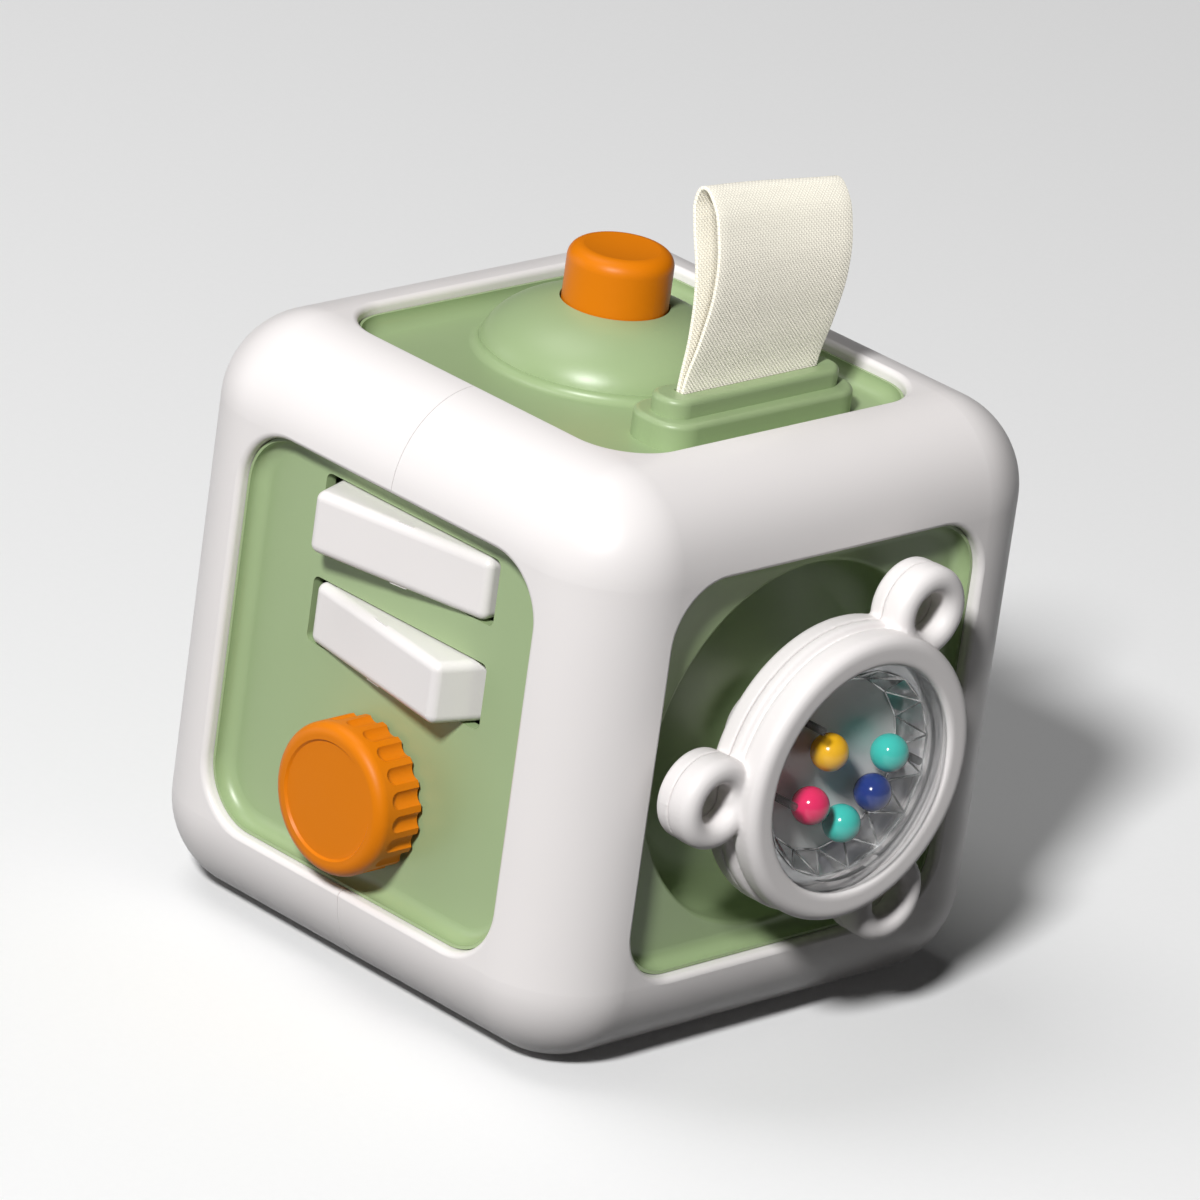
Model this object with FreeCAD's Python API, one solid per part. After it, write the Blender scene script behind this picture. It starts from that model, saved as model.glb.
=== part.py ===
import FreeCAD, Part
import math
import os

os.makedirs("parts", exist_ok=True)

V = FreeCAD.Vector
ORIGIN = V(0, 0, 0)
UP = V(0, 0, 1)

# Everything is built about the cube's centre, in millimetres, and is stood on
# Z = 0 when it is saved.  A face's own pieces are drawn with that face looking
# up local +Z, and are then turned on to the face.
# Faces: front is -Y (keys and knob), right is +X (spinner), top is +Z.

# Body
BODY = 98.0             # side of the cube
EDGE_ROUND = 15.4       # rounding of the cube's edges and corners
WALL = 2.2              # wall of the two white half shells
WINDOW = 66.8           # side of the square window in each face
WINDOW_CORNER = 10.0    # corner radius of a window
LIP_ROUND = 1.0         # rounding of a window's outer lip
SEAM_GAP = 0.1          # gap between the half shells at the outside
TONGUE = 1.0            # thickness of the tongue that closes the seam
TONGUE_REACH = 2.5      # how far the tongue enters the other half
TONGUE_GAP = 0.1        # clearance round the tongue

# Panels, each a shallow tray behind its window
PANEL_GAP = 0.15        # clearance of a tray in its window
RIM_DEPTH = 1.8         # tray rim below the outside of the face
FLOOR_DEPTH = 4.4       # tray floor below the outside of the face
PANEL_WALL = 2.0        # thickness of a tray's floor
TRAY_RIM = 0.5          # width of the tray's flat rim
TRAY_FILLET = 2.3       # hollow round between floor and rim
FLANGE = 2.0            # how far a panel's flange runs behind the shell
FLANGE_DROP = 0.3       # flange below the inside of the shell
RAIL_WALL = 1.5         # thickness of the rails that hold the flanges
RAIL_GAP = 0.1          # clearance between a rail and a panel's back
RAIL_INSET = 0.6        # rail edge inside the window's edge

# Base panel and its screws
BASE_WALL = 2.4
LEDGE_WALL = 2.3        # ledge that the base panel lies on
LEDGE_WIDTH = 5.4
BASE_SCREW_INSET = 7.9  # screws from the window's edges
BOSS_RADIUS = 3.6
BOSS_DEPTH = 10.0
SCREW_RADIUS = 1.4
SCREW_HEAD_RADIUS = 2.7
SCREW_HEAD_HEIGHT = 1.6
SCREW_SLOT = 0.7
SCREW_SHORT = 1.0       # screw's end short of its boss's bottom
SCREW_GAP = 0.15        # clearance of a screw's shank in the held piece

# Top panel: domed seat of the push button
DOME_X = -8.4
DOME_Y = 3.2
DOME_RADIUS = 20.5
DOME_HEIGHT = 10.4
DOME_FOOT = 1.5
DOME_WALL = 2.0
BUTTON_RADIUS = 8.5
BUTTON_GAP = 0.3        # clearance of the button in the dome
BUTTON_PROUD = 9.1      # button above the dome's mouth
BUTTON_ROUND = 2.4
BUTTON_WALL = 1.8
BUTTON_DISH = 0.35
BUTTON_TRAVEL = 4.0
BUTTON_FLANGE = 1.7     # flange beyond the button's side
BUTTON_FLANGE_WALL = 2.0
LEDGE_GAP = 0.1         # flange below the dome's inner ledge at rest
DOME_LEDGE = 3.6        # height of the dome's inner ledge
GUIDE_WALL = 1.6
GUIDE_GAP = 0.15        # clearance of the flange in its guide
GUIDE_BASE = 2.0
GUIDE_DROP = 4.0        # guide's base below the panel's back
GUIDE_BASE_RIM = 3.5    # guide's base beyond its screws' centres
GUIDE_SCREWS = 3
GUIDE_BOSS_GAP = 0.4    # bosses outside the dome's hollow
SPRING_GAP = 0.1        # clearance of the spring in the button
SPRING_WIRE = 0.45       # half the side of the spring's square wire
SPRING_TURNS = 5
SPIGOT_GAP = 0.25       # clearance of the guide's spigot in the spring

# Top panel: two-step collar of the ribbon tag
COLLAR_X = 21.8
COLLAR_Y = 3.2
LOWER_HALF_X = 6.2
LOWER_HALF_Y = 20.8
LOWER_HEIGHT = 4.5
LOWER_CORNER = 5.0
UPPER_HALF_X = 3.7
UPPER_HALF_Y = 18.7
UPPER_HEIGHT = 7.5
UPPER_CORNER = 3.4
COLLAR_ROUND = 0.9
RIBBON_THICK = 0.9
RIBBON_WIDTH = 29.2
RIBBON_TURN = 0.04      # play between the two plies in the slot
SLOT_GAP = 0.25
RIBBON_RISE = 33.6      # top of the loop above the collar
LOOP_SHAPE = (          # loop's middle line: x from the slot, and share of the rise
    (0.45, 0.3),
    (-0.1, 0.59),
    (-2.1, 0.83),
    (-2.5, 0.935),
    (-1.3, 1.0),
    (1.1, 0.955),
    (3.5, 0.79),
    (4.3, 0.57),
    (2.9, 0.3),
)
LOOP_SAMPLES = 6        # samples of the loop's curve for each of its points
LOOP_FORK = 4           # samples of the loop's curve below which the plies touch
BAR_HALF_X = 2.4
BAR_END = 1.0           # bar beyond the ribbon at each end
BAR_HEIGHT = 5.0
BAR_CORNER = 1.0
BAR_BITE = 4.0          # depth of the ribbon's ends in the bar

# Front panel: two see-saw keys
KEY_X = 1.3
KEY_UPPER_Z = 24.1
KEY_LOWER_Z = 6.8
KEY_HEIGHT = 10.3
KEY_FACE = 34.4         # length of a key's front face
KEY_BASE = 37.0         # length of a key where it is widest, inside the panel
KEY_PROUD = 3.8         # front face above the floor when level
KEY_DEPTH = 9.0
KEY_ROUND = 1.5
KEY_WALL = 1.6
KEY_TILT = 9.5          # tilt each way, degrees
KEY_SLOT_PLAY = 1.4     # room for a tilting key at each end of its slot
KEY_SLOT_GAP = 0.35
KEY_SLOT_ROUND = 1.2
KEY_PIVOT_DEPTH = 5.2   # pivot behind the tray floor
PIN_RADIUS = 1.5
PIN_GAP = 0.05
KEY_HUB_RADIUS = 3.0
LUG_WALL = 3.0
LUG_RADIUS = 3.4
LUG_GAP = 0.5

# Front panel: fluted knob
KNOB_X = -0.2
KNOB_Z = -17.0
KNOB_RADIUS = 12.3
KNOB_PROUD = 9.4
KNOB_GAP = 0.8          # gap between knob and floor
KNOB_ROUND = 1.9
KNOB_DISH = 0.35
KNOB_DISH_EDGE = 2.6
KNOB_WALL = 2.2
FLUTES = 20
FLUTE_DEPTH = 0.75
FLUTE_RADIUS = 1.75
FLUTE_STOP = 2.4        # flutes end this far behind the knob's front
STEM_RADIUS = 4.0
STEM_GAP = 0.06
CLICK_WHEEL_RADIUS = 8.2
CLICK_WHEEL_WALL = 2.6
CLICK_TEETH = 20
CLICK_TOOTH = 0.9
CLICK_WHEEL_DROP = 1.2  # wheel behind the panel's back
CLICK_LEAF = 0.5
CLICK_GAP = 0.12
CLICK_LEAF_LENGTH = 15.0

# Right panel: round dish behind the spinner
DISH_INSET = 3.25       # dish's mouth inside the tray's outer edge
DISH_DEPTH = 10.0
DISH_ROUND = 6.0
DISH_LIP = 0.8
AXLE_RADIUS = 2.5
AXLE_GAP = 0.06
AXLE_BOSS_RADIUS = 6.0
AXLE_BOSS_DEPTH = 6.0
AXLE_HEAD_RADIUS = 5.0
AXLE_HEAD_WALL = 1.2
AXLE_PLAY = 0.25

# Spinner
SPINDLE_RADIUS = 7.0
SPINDLE_GAP = 2.0       # gap between the spindle and the dish's floor
SPINDLE_LENGTH = 14.0
HUB_GAP = 0.4           # hub's radius beyond the axle's head
RING_RADIUS = 24.0
RING_REAR = 3.2         # thickness of the ring's rear half
RING_BAND = 2.2         # width of the band behind the ring's step
RING_FRONT = 5.2        # thickness of the ring in front of its step
RING_STEP_IN = 0.8      # how far the front stands in from the band
RING_BACK_ROUND = 1.0
RING_SHOULDER = 2.3     # rounding of the ring's outer front edge
SHOULDER_MIDDLE = (0.75, 1.35)  # middle of that rounding: in from the side, below the top
RING_BEVEL = 0.8        # depth of the slope from the ring's top in to the window
SLOPE_MIDDLE = (0.75, 0.2)      # middle of that slope: out from the window, below the top
RING_SPLIT_GROOVE = 0.15
SHELL_WALL = 3.3        # ring's wall round the cup
SIGHT_LIP = 1.8         # lip that keeps the window in the ring
SIGHT_LAND = 0.9        # thickness of that lip at its edge
WINDOW_RISE = 4.6       # window's dome above the lip
WINDOW_WALL = 1.4
WINDOW_FIT = 0.15
WINDOW_FLANGE = 1.1
DISC_WALL = 1.0
DISC_DROP = 0.3         # disc below the ring's split
EARS = 3
EAR_REACH = 3.7         # ear's centre beyond the ring's outside
EAR_RADIUS = 7.4
EAR_REAR = 2.9          # thickness of an ear behind the ring's split
EAR_FORE = 4.5          # thickness of an ear in front of it
EAR_HOLE = 3.4
EAR_ROUND = 3.0
EAR_MOUTH = 1.7         # rounding of an ear hole's mouth
EAR_BACK_ROUND = 1.0
EAR_NECK = 0.55         # neck's width as a share of the ear's
CUP_SIDES = 16
CUP_INNER_GAP = 6.3     # cup's inner corners from the ring's wall, at the base
CUP_FLARE_GAP = 3.7     # and at the top
CUP_FIT = 0.2
CUP_LIFT = 0.1          # cup's base above the disc
CUP_HEIGHT = 4.3
POST_RADIUS = 0.5
POST_IN = 0.9           # posts' distance inside the cup's inner corners
POST_ANGLES = (1.0, 134.0, 189.0)
POST_HEIGHT = 6.4
BEAD_RADIUS = 3.05
BEAD_GAP = 0.45         # beads above the disc
BEAD_FIELD = 13.5       # radius of the field that the beads' places are given in
BEADS = (
    ("bead_yellow", -4.1, 4.1),
    ("bead_pink", -6.7, -4.4),
    ("bead_teal_low", 1.0, -8.9),
    ("bead_blue", 7.1, -4.9),
    ("bead_teal_side", 9.6, 1.3),
)

# Levels on any face, measured from the cube's centre along that face's normal
FACE = BODY / 2
RIM = FACE - RIM_DEPTH
FLOOR = FACE - FLOOR_DEPTH
PANEL_BACK = FLOOR - PANEL_WALL
INSIDE = FACE - WALL
FLANGE_TOP = INSIDE - FLANGE_DROP
PLATE_HALF = WINDOW / 2 - PANEL_GAP
FLANGE_HALF = WINDOW / 2 + FLANGE
RAIL_TOP = PANEL_BACK - RAIL_GAP
OVER = 1.0              # how far a cutter runs past what it cuts
HALFWAY = 0.75          # depth of a shallow dish halfway out, as a share of its middle's
PARALLEL = 0.999        # cosine above which two directions count as parallel
NEAR = 1e-4             # distance below which two levels count as the same

# Places that follow the sizes above
BASE_SCREW_AT = WINDOW / 2 - BASE_SCREW_INSET
GUIDE_BORE = BUTTON_RADIUS + BUTTON_FLANGE + GUIDE_GAP
GUIDE_BOSS_AT = DOME_RADIUS - DOME_WALL + BOSS_RADIUS + GUIDE_BOSS_GAP
GUIDE_BASE_RADIUS = GUIDE_BOSS_AT + GUIDE_BASE_RIM
SPRING_RADIUS = BUTTON_RADIUS - BUTTON_WALL - SPRING_GAP
KEY_SLOT_HALF = KEY_BASE / 2 + KEY_SLOT_PLAY
DISH_RADIUS = PLATE_HALF - DISH_INSET
BAR_HALF_Y = RIBBON_WIDTH / 2 + BAR_END

# Levels and radii of the spinner, from back to front
DISH_FLOOR = FLOOR - DISH_DEPTH
SPINDLE_BACK = DISH_FLOOR + SPINDLE_GAP
RING_BACK = SPINDLE_BACK + SPINDLE_LENGTH
RING_SPLIT = RING_BACK + RING_REAR
RING_STEP = RING_SPLIT + RING_BAND
RING_TOP = RING_STEP + RING_FRONT
SIGHT_LEVEL = RING_TOP - RING_BEVEL
SEAT_LEVEL = SIGHT_LEVEL - SIGHT_LAND
WINDOW_TOP = SIGHT_LEVEL + WINDOW_RISE
DISC_TOP = RING_SPLIT - DISC_DROP
CUP_BASE = DISC_TOP + CUP_LIFT
CUP_TOP = CUP_BASE + CUP_HEIGHT
POST_TOP = CUP_BASE + POST_HEIGHT
BEAD_LEVEL = DISC_TOP + BEAD_GAP + BEAD_RADIUS
EAR_BACK = RING_SPLIT - EAR_REAR
EAR_FRONT = RING_SPLIT + EAR_FORE
EAR_AT = RING_RADIUS + EAR_REACH
HUB_RADIUS = AXLE_HEAD_RADIUS + HUB_GAP
RING_FRONT_RADIUS = RING_RADIUS - RING_STEP_IN
SHELL_INNER = RING_RADIUS - SHELL_WALL
SIGHT_RADIUS = SHELL_INNER - SIGHT_LIP
CUP_INNER = SHELL_INNER - CUP_INNER_GAP
CUP_FLARE = SHELL_INNER - CUP_FLARE_GAP
CUP_OUTER = SHELL_INNER - CUP_FIT
POST_AT = CUP_INNER - POST_IN


def save(name, shape):
    """Stand a finished piece on Z = 0 and write it."""
    standing = shape.copy()
    standing.translate(V(0, 0, FACE))
    standing.exportStep(os.path.join("parts", name + ".step"))


def as_drawn(shape):
    return shape


def to_front(shape):
    """Local X, Y, Z become X, Z, -Y."""
    return shape.rotated(ORIGIN, V(1, 0, 0), 90)


def to_right(shape):
    """Local X, Y, Z become Y, Z, X."""
    return shape.rotated(ORIGIN, V(1, 1, 1), 120)


def to_back(shape):
    return to_front(shape).rotated(ORIGIN, UP, 180)


def to_left(shape):
    return to_right(shape).rotated(ORIGIN, UP, 180)


def to_bottom(shape):
    return shape.rotated(ORIGIN, V(1, 0, 0), 180)


def edges_along(shape, axis):
    """Straight edges of a shape that run along an axis."""
    found = []
    for edge in shape.Edges:
        if isinstance(edge.Curve, Part.Line) and abs(edge.Curve.Direction.dot(axis)) > PARALLEL:
            found.append(edge)
    return found


def edges_at(shape, level):
    """Edges that lie in the plane Z = level."""
    found = []
    for edge in shape.Edges:
        box = edge.BoundBox
        if abs(box.ZMin - level) < NEAR and abs(box.ZMax - level) < NEAR:
            found.append(edge)
    return found


def edges_within(shape, level, half):
    """Edges in the plane Z = level that lie inside a centred square."""
    found = []
    for edge in edges_at(shape, level):
        box = edge.BoundBox
        if max(box.XMax, box.YMax, -box.XMin, -box.YMin) < half + NEAR:
            found.append(edge)
    return found


def plate(half_x, half_y, corner, low, high):
    """Upright plate with rounded corners, centred on Z."""
    block = Part.makeBox(2 * half_x, 2 * half_y, high - low, V(-half_x, -half_y, low))
    return block.makeFillet(corner, edges_along(block, UP))


def rod(radius, low, high, x=0.0, y=0.0):
    return Part.makeCylinder(radius, high - low, V(x, y, low), UP)


def tube(outer, inner, low, high, x=0.0, y=0.0):
    return rod(outer, low, high, x, y).cut(rod(inner, low - OVER, high + OVER, x, y))


def moved(shape, x, y, z=0.0):
    return shape.translated(V(x, y, z))


def turned(*steps):
    """Body turned about Z: a step is a point (r, z), or an arc (middle, end)."""
    edges = []
    here = steps[0]
    for step in steps[1:] + (steps[0],):
        if isinstance(step[0], tuple):
            middle, end = step
            points = [V(p[0], 0, p[1]) for p in (here, middle, end)]
            edges.append(Part.Arc(*points).toShape())
            here = end
        elif step != here:
            edges.append(Part.makeLine(V(here[0], 0, here[1]), V(step[0], 0, step[1])))
            here = step
    return Part.Face(Part.Wire(edges)).revolve(ORIGIN, UP, 360)


def on_arc(centre, radius, degrees):
    """Point of an (r, z) section on a circle."""
    angle = math.radians(degrees)
    return (centre[0] + radius * math.cos(angle), centre[1] + radius * math.sin(angle))


def screw(head_top, length, x, y):
    """Slotted pan-head screw with its head at the top."""
    head = rod(SCREW_HEAD_RADIUS, head_top - SCREW_HEAD_HEIGHT, head_top, x, y)
    shank = rod(SCREW_RADIUS, head_top - length, head_top - SCREW_HEAD_HEIGHT, x, y)
    slot = Part.makeBox(2 * SCREW_HEAD_RADIUS + OVER, SCREW_SLOT, SCREW_SLOT + OVER)
    slot.translate(V(x - SCREW_HEAD_RADIUS - OVER / 2, y - SCREW_SLOT / 2, head_top - SCREW_SLOT))
    return head.fuse(shank).cut(slot).removeSplitter()


# ---------------------------------------------------------------- body shells

def rounded_cube(inset):
    """Cube whose faces lie `inset` inside the outside of the body."""
    side = BODY - 2 * inset
    block = Part.makeBox(side, side, side, V(-side / 2, -side / 2, -side / 2))
    return block.makeFillet(EDGE_ROUND - inset, block.Edges)


def window_cutter():
    """One window, with the rounding of its outer lip."""
    half = WINDOW / 2
    low = INSIDE - EDGE_ROUND
    hole = plate(half, half, WINDOW_CORNER, low, FACE + OVER)
    outer = half + LIP_ROUND
    lip = plate(outer, outer, WINDOW_CORNER + LIP_ROUND, FACE - LIP_ROUND, FACE + OVER)
    land = plate(FACE, FACE, EDGE_ROUND, FACE - 2 * LIP_ROUND, FACE).cut(hole)
    land = land.makeFillet(LIP_ROUND, edges_within(land, FACE, half))
    return hole.fuse(lip.cut(land))


def rail():
    """Inner ring that a panel's flange rests on."""
    ring = plate(FACE, FACE, EDGE_ROUND, RAIL_TOP - RAIL_WALL, RAIL_TOP)
    hole_half = WINDOW / 2 - RAIL_INSET
    return ring.cut(plate(hole_half, hole_half, WINDOW_CORNER - RAIL_INSET, 0, FACE))


def base_ledge():
    """Ledge round the base window, with a boss for each base screw."""
    top = FACE - BASE_WALL
    ledge = plate(FACE, FACE, EDGE_ROUND, top - LEDGE_WALL, top)
    hole_half = WINDOW / 2 - LEDGE_WIDTH
    ledge = ledge.cut(plate(hole_half, hole_half, WINDOW_CORNER, 0, FACE))
    for x in (-BASE_SCREW_AT, BASE_SCREW_AT):
        for y in (-BASE_SCREW_AT, BASE_SCREW_AT):
            ledge = ledge.fuse(rod(BOSS_RADIUS, top - BOSS_DEPTH, top, x, y))
    for x in (-BASE_SCREW_AT, BASE_SCREW_AT):
        for y in (-BASE_SCREW_AT, BASE_SCREW_AT):
            ledge = ledge.cut(rod(SCREW_RADIUS, top - BOSS_DEPTH - OVER, top + OVER, x, y))
    return ledge


def seam_tongue(inset, from_x, to_x):
    """Band just inside the shell that crosses the seam, in the edges only."""
    band = rounded_cube(inset).cut(rounded_cube(WALL + TONGUE))
    keep = Part.makeBox(to_x - from_x, BODY, BODY, V(from_x, -FACE, -FACE))
    band = band.common(keep)
    half = FLANGE_HALF + TONGUE
    for turn in (as_drawn, to_front):
        band = band.cut(turn(plate(half, half, WINDOW_CORNER, -FACE, FACE)))
    return band


def half_shells():
    """The white body: two half shells that meet on X = 0."""
    inner = rounded_cube(WALL)
    shell = rounded_cube(0).cut(inner)
    turns = (as_drawn, to_front, to_right, to_back, to_left, to_bottom)
    for turn in turns:
        shell = shell.cut(turn(window_cutter()))
    fittings = to_bottom(base_ledge())
    for turn in turns[:-1]:
        fittings = fittings.fuse(turn(rail()))
    shell = shell.fuse(fittings.common(inner)).removeSplitter()
    space = Part.makeBox(FACE, BODY, BODY, V(0, -FACE, -FACE))
    right = shell.common(space.translated(V(SEAM_GAP / 2, 0, 0)))
    left = shell.common(space.translated(V(-FACE - SEAM_GAP / 2, 0, 0)))
    root = seam_tongue(WALL, -TONGUE_REACH, -SEAM_GAP / 2)
    tip = seam_tongue(WALL + TONGUE_GAP, -TONGUE_REACH, TONGUE_REACH)
    left = left.fuse(root).fuse(tip).removeSplitter()
    room = rounded_cube(WALL).cut(rounded_cube(WALL + TONGUE + TONGUE_GAP))
    reach = TONGUE_REACH + TONGUE_GAP
    room = room.common(Part.makeBox(reach, BODY, BODY, V(0, -FACE, -FACE)))
    right = right.cut(room)
    return left, right


# ---------------------------------------------------------------- panels

def tray():
    """Plain tray, drawn looking up."""
    body = plate(PLATE_HALF, PLATE_HALF, WINDOW_CORNER - PANEL_GAP, PANEL_BACK, RIM)
    flange = plate(FLANGE_HALF, FLANGE_HALF, WINDOW_CORNER + FLANGE, PANEL_BACK, FLANGE_TOP)
    half = PLATE_HALF - TRAY_RIM
    hollow = plate(half, half, WINDOW_CORNER - PANEL_GAP - TRAY_RIM, FLOOR, FACE)
    hollow = hollow.makeFillet(TRAY_FILLET, edges_at(hollow, FLOOR))
    return body.fuse(flange).cut(hollow).removeSplitter()


def dome_profile(radius, height, mouth):
    """Curve of the dome from its foot in to the mouth, as an ellipse."""
    ellipse = Part.Ellipse(V(radius, 0, FLOOR), V(0, 0, FLOOR + height), V(0, 0, FLOOR))
    end = math.acos(mouth / radius)
    return Part.Edge(ellipse, 0, end)


def dome_solid(radius, height, low):
    """Solid half-ellipse dome that runs down to `low`."""
    quarter = dome_profile(radius, height, 0.0)
    top = V(0, 0, FLOOR + height)
    centre = V(0, 0, low)
    corner = V(radius, 0, low)
    foot = V(radius, 0, FLOOR)
    sides = [quarter, Part.makeLine(top, centre), Part.makeLine(centre, corner)]
    sides.append(Part.makeLine(corner, foot))
    return Part.Face(Part.Wire(Part.__sortEdges__(sides))).revolve(ORIGIN, UP, 360)


def dome_mouth_level():
    mouth = BUTTON_RADIUS + BUTTON_GAP
    return FLOOR + DOME_HEIGHT * math.sqrt(1 - (mouth / DOME_RADIUS) ** 2)


def button_flange_top():
    return dome_mouth_level() - DOME_LEDGE - LEDGE_GAP


def guide_boss_places():
    places = []
    for index in range(GUIDE_SCREWS):
        angle = math.radians(360 / GUIDE_SCREWS * index)
        x = DOME_X + GUIDE_BOSS_AT * math.cos(angle)
        y = DOME_Y + GUIDE_BOSS_AT * math.sin(angle)
        places.append((x, y))
    return places


def collar():
    """Two-step collar of the ribbon, without its slot."""
    lower = plate(LOWER_HALF_X, LOWER_HALF_Y, LOWER_CORNER, FLOOR, FLOOR + LOWER_HEIGHT)
    lower = lower.makeFillet(COLLAR_ROUND, edges_at(lower, FLOOR + LOWER_HEIGHT))
    upper = plate(UPPER_HALF_X, UPPER_HALF_Y, UPPER_CORNER, FLOOR, FLOOR + UPPER_HEIGHT)
    upper = upper.makeFillet(COLLAR_ROUND, edges_at(upper, FLOOR + UPPER_HEIGHT))
    return moved(lower.fuse(upper), COLLAR_X, COLLAR_Y)


def collar_slot():
    half_x = RIBBON_THICK + RIBBON_TURN / 2 + SLOT_GAP
    half_y = RIBBON_WIDTH / 2 + SLOT_GAP
    slot = plate(half_x, half_y, SLOT_GAP, PANEL_BACK - OVER, FLOOR + UPPER_HEIGHT + OVER)
    return moved(slot, COLLAR_X, COLLAR_Y)


def top_panel():
    panel = tray()
    dome = moved(dome_solid(DOME_RADIUS, DOME_HEIGHT, PANEL_BACK), DOME_X, DOME_Y)
    foot_outer = DOME_RADIUS + DOME_FOOT
    foot_middle = on_arc((foot_outer, FLOOR + DOME_FOOT), DOME_FOOT, 225)
    foot = turned((DOME_RADIUS - OVER, FLOOR - OVER), (foot_outer, FLOOR - OVER), (foot_outer, FLOOR),
                  (foot_middle, (DOME_RADIUS, FLOOR + DOME_FOOT)),
                  (DOME_RADIUS - OVER, FLOOR + DOME_FOOT))
    panel = panel.fuse(moved(foot, DOME_X, DOME_Y)).fuse(dome)
    panel = panel.fuse(collar()).removeSplitter()
    hollow = dome_solid(DOME_RADIUS - DOME_WALL, DOME_HEIGHT - DOME_WALL, PANEL_BACK - OVER)
    ledge_radius = GUIDE_BORE + GUIDE_WALL
    ledge_low = dome_mouth_level() - DOME_LEDGE
    hollow = hollow.cut(rod(ledge_radius, ledge_low, FACE + DOME_HEIGHT))
    mouth = rod(BUTTON_RADIUS + BUTTON_GAP, PANEL_BACK, FACE + DOME_HEIGHT)
    panel = panel.cut(moved(hollow.fuse(mouth), DOME_X, DOME_Y)).cut(collar_slot())
    for x, y in guide_boss_places():
        boss = tube(BOSS_RADIUS, SCREW_RADIUS, PANEL_BACK - GUIDE_DROP, PANEL_BACK, x, y)
        panel = panel.fuse(boss)
    return panel.removeSplitter()


def key_slot(z):
    half_z = KEY_HEIGHT / 2 + KEY_SLOT_GAP
    slot = plate(KEY_SLOT_HALF, half_z, KEY_SLOT_ROUND, PANEL_BACK - OVER, FACE)
    return moved(slot, KEY_X, z)


def lug_spans():
    """Height spans of the three lugs that hold the keys' pin."""
    half = KEY_HEIGHT / 2 + LUG_GAP
    middle = (KEY_UPPER_Z + KEY_LOWER_Z) / 2
    return (
        (KEY_UPPER_Z + half, KEY_UPPER_Z + half + LUG_WALL),
        (middle - LUG_WALL / 2, middle + LUG_WALL / 2),
        (KEY_LOWER_Z - half - LUG_WALL, KEY_LOWER_Z - half),
    )


def pivot_level():
    return FLOOR - KEY_PIVOT_DEPTH


def cross_rod(radius, low_y, high_y, level):
    """Rod along local Y at a level."""
    return Part.makeCylinder(radius, high_y - low_y, V(0, low_y, level), V(0, 1, 0))


def lugs():
    found = []
    for low, high in lug_spans():
        ring = cross_rod(LUG_RADIUS, low, high, pivot_level())
        web = Part.makeBox(2 * LUG_RADIUS, high - low, PANEL_BACK - pivot_level() + OVER / 2)
        web.translate(V(-LUG_RADIUS, low, pivot_level()))
        found.append(moved(ring.fuse(web), KEY_X, 0))
    return found


def click_post():
    """Boss behind the front panel that holds the click spring."""
    return (KNOB_X + CLICK_LEAF_LENGTH - BOSS_RADIUS, KNOB_Z + click_leaf_level())


def click_leaf_level():
    """Distance of the leaf's inner side from the knob's axis."""
    return CLICK_WHEEL_RADIUS + CLICK_GAP


def front_panel():
    panel = tray().cut(key_slot(KEY_UPPER_Z)).cut(key_slot(KEY_LOWER_Z))
    panel = panel.cut(rod(STEM_RADIUS + STEM_GAP, PANEL_BACK - OVER, FACE, KNOB_X, KNOB_Z))
    for lug in lugs():
        panel = panel.fuse(lug)
    lowest = KEY_LOWER_Z - KEY_HEIGHT
    highest = KEY_UPPER_Z + KEY_HEIGHT
    panel = panel.cut(moved(cross_rod(PIN_RADIUS, lowest, highest, pivot_level()), KEY_X, 0))
    x, z = click_post()
    low = PANEL_BACK - CLICK_WHEEL_DROP - CLICK_WHEEL_WALL
    post = Part.makeBox(2 * BOSS_RADIUS, BOSS_RADIUS, PANEL_BACK - low)
    post.translate(V(x - BOSS_RADIUS, z + CLICK_LEAF, low))
    return panel.fuse(post).removeSplitter()


def dish_shape(radius, depth, corner, top):
    """Bowl-shaped body that fills the dish, or the dish's outer wall."""
    low = FLOOR - depth
    centre = (radius - corner, low + corner)
    return turned((0, low), (radius - corner, low), (on_arc(centre, corner, -45), (radius, low + corner)),
                  (radius, top), (0, top))


def right_panel():
    outer = dish_shape(DISH_RADIUS + PANEL_WALL, DISH_DEPTH + PANEL_WALL, DISH_ROUND + PANEL_WALL, FLOOR)
    panel = tray().fuse(outer)
    boss_low = FLOOR - DISH_DEPTH - AXLE_BOSS_DEPTH
    panel = panel.fuse(rod(AXLE_BOSS_RADIUS, boss_low, FLOOR - DISH_DEPTH))
    panel = panel.cut(dish_shape(DISH_RADIUS, DISH_DEPTH, DISH_ROUND, FACE)).removeSplitter()
    panel = panel.makeFillet(DISH_LIP, edges_within(panel, FLOOR, DISH_RADIUS))
    return panel.cut(rod(AXLE_RADIUS, boss_low - OVER, FLOOR))


def base_panel():
    low = FACE - BASE_WALL
    panel = plate(PLATE_HALF, PLATE_HALF, WINDOW_CORNER - PANEL_GAP, low, FACE)
    panel = panel.makeFillet(COLLAR_ROUND / 2, edges_at(panel, FACE))
    for x, y in base_screw_places():
        panel = panel.cut(rod(SCREW_RADIUS + SCREW_GAP, low - OVER, FACE + OVER, x, y))
        recess = SCREW_HEAD_RADIUS + SCREW_GAP
        panel = panel.cut(rod(recess, FACE - SCREW_HEAD_HEIGHT, FACE + OVER, x, y))
    return panel


def base_screw_places():
    at = (-BASE_SCREW_AT, BASE_SCREW_AT)
    return [(x, y) for x in at for y in at]


def base_screws():
    length = BASE_WALL + BOSS_DEPTH - SCREW_SHORT
    return Part.makeCompound([screw(FACE, length, x, y) for x, y in base_screw_places()])


# ---------------------------------------------------------------- push button

def cap_inside():
    """Level of the underside of the button's top."""
    return dome_mouth_level() + BUTTON_PROUD - BUTTON_ROUND - BUTTON_WALL / 2


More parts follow.
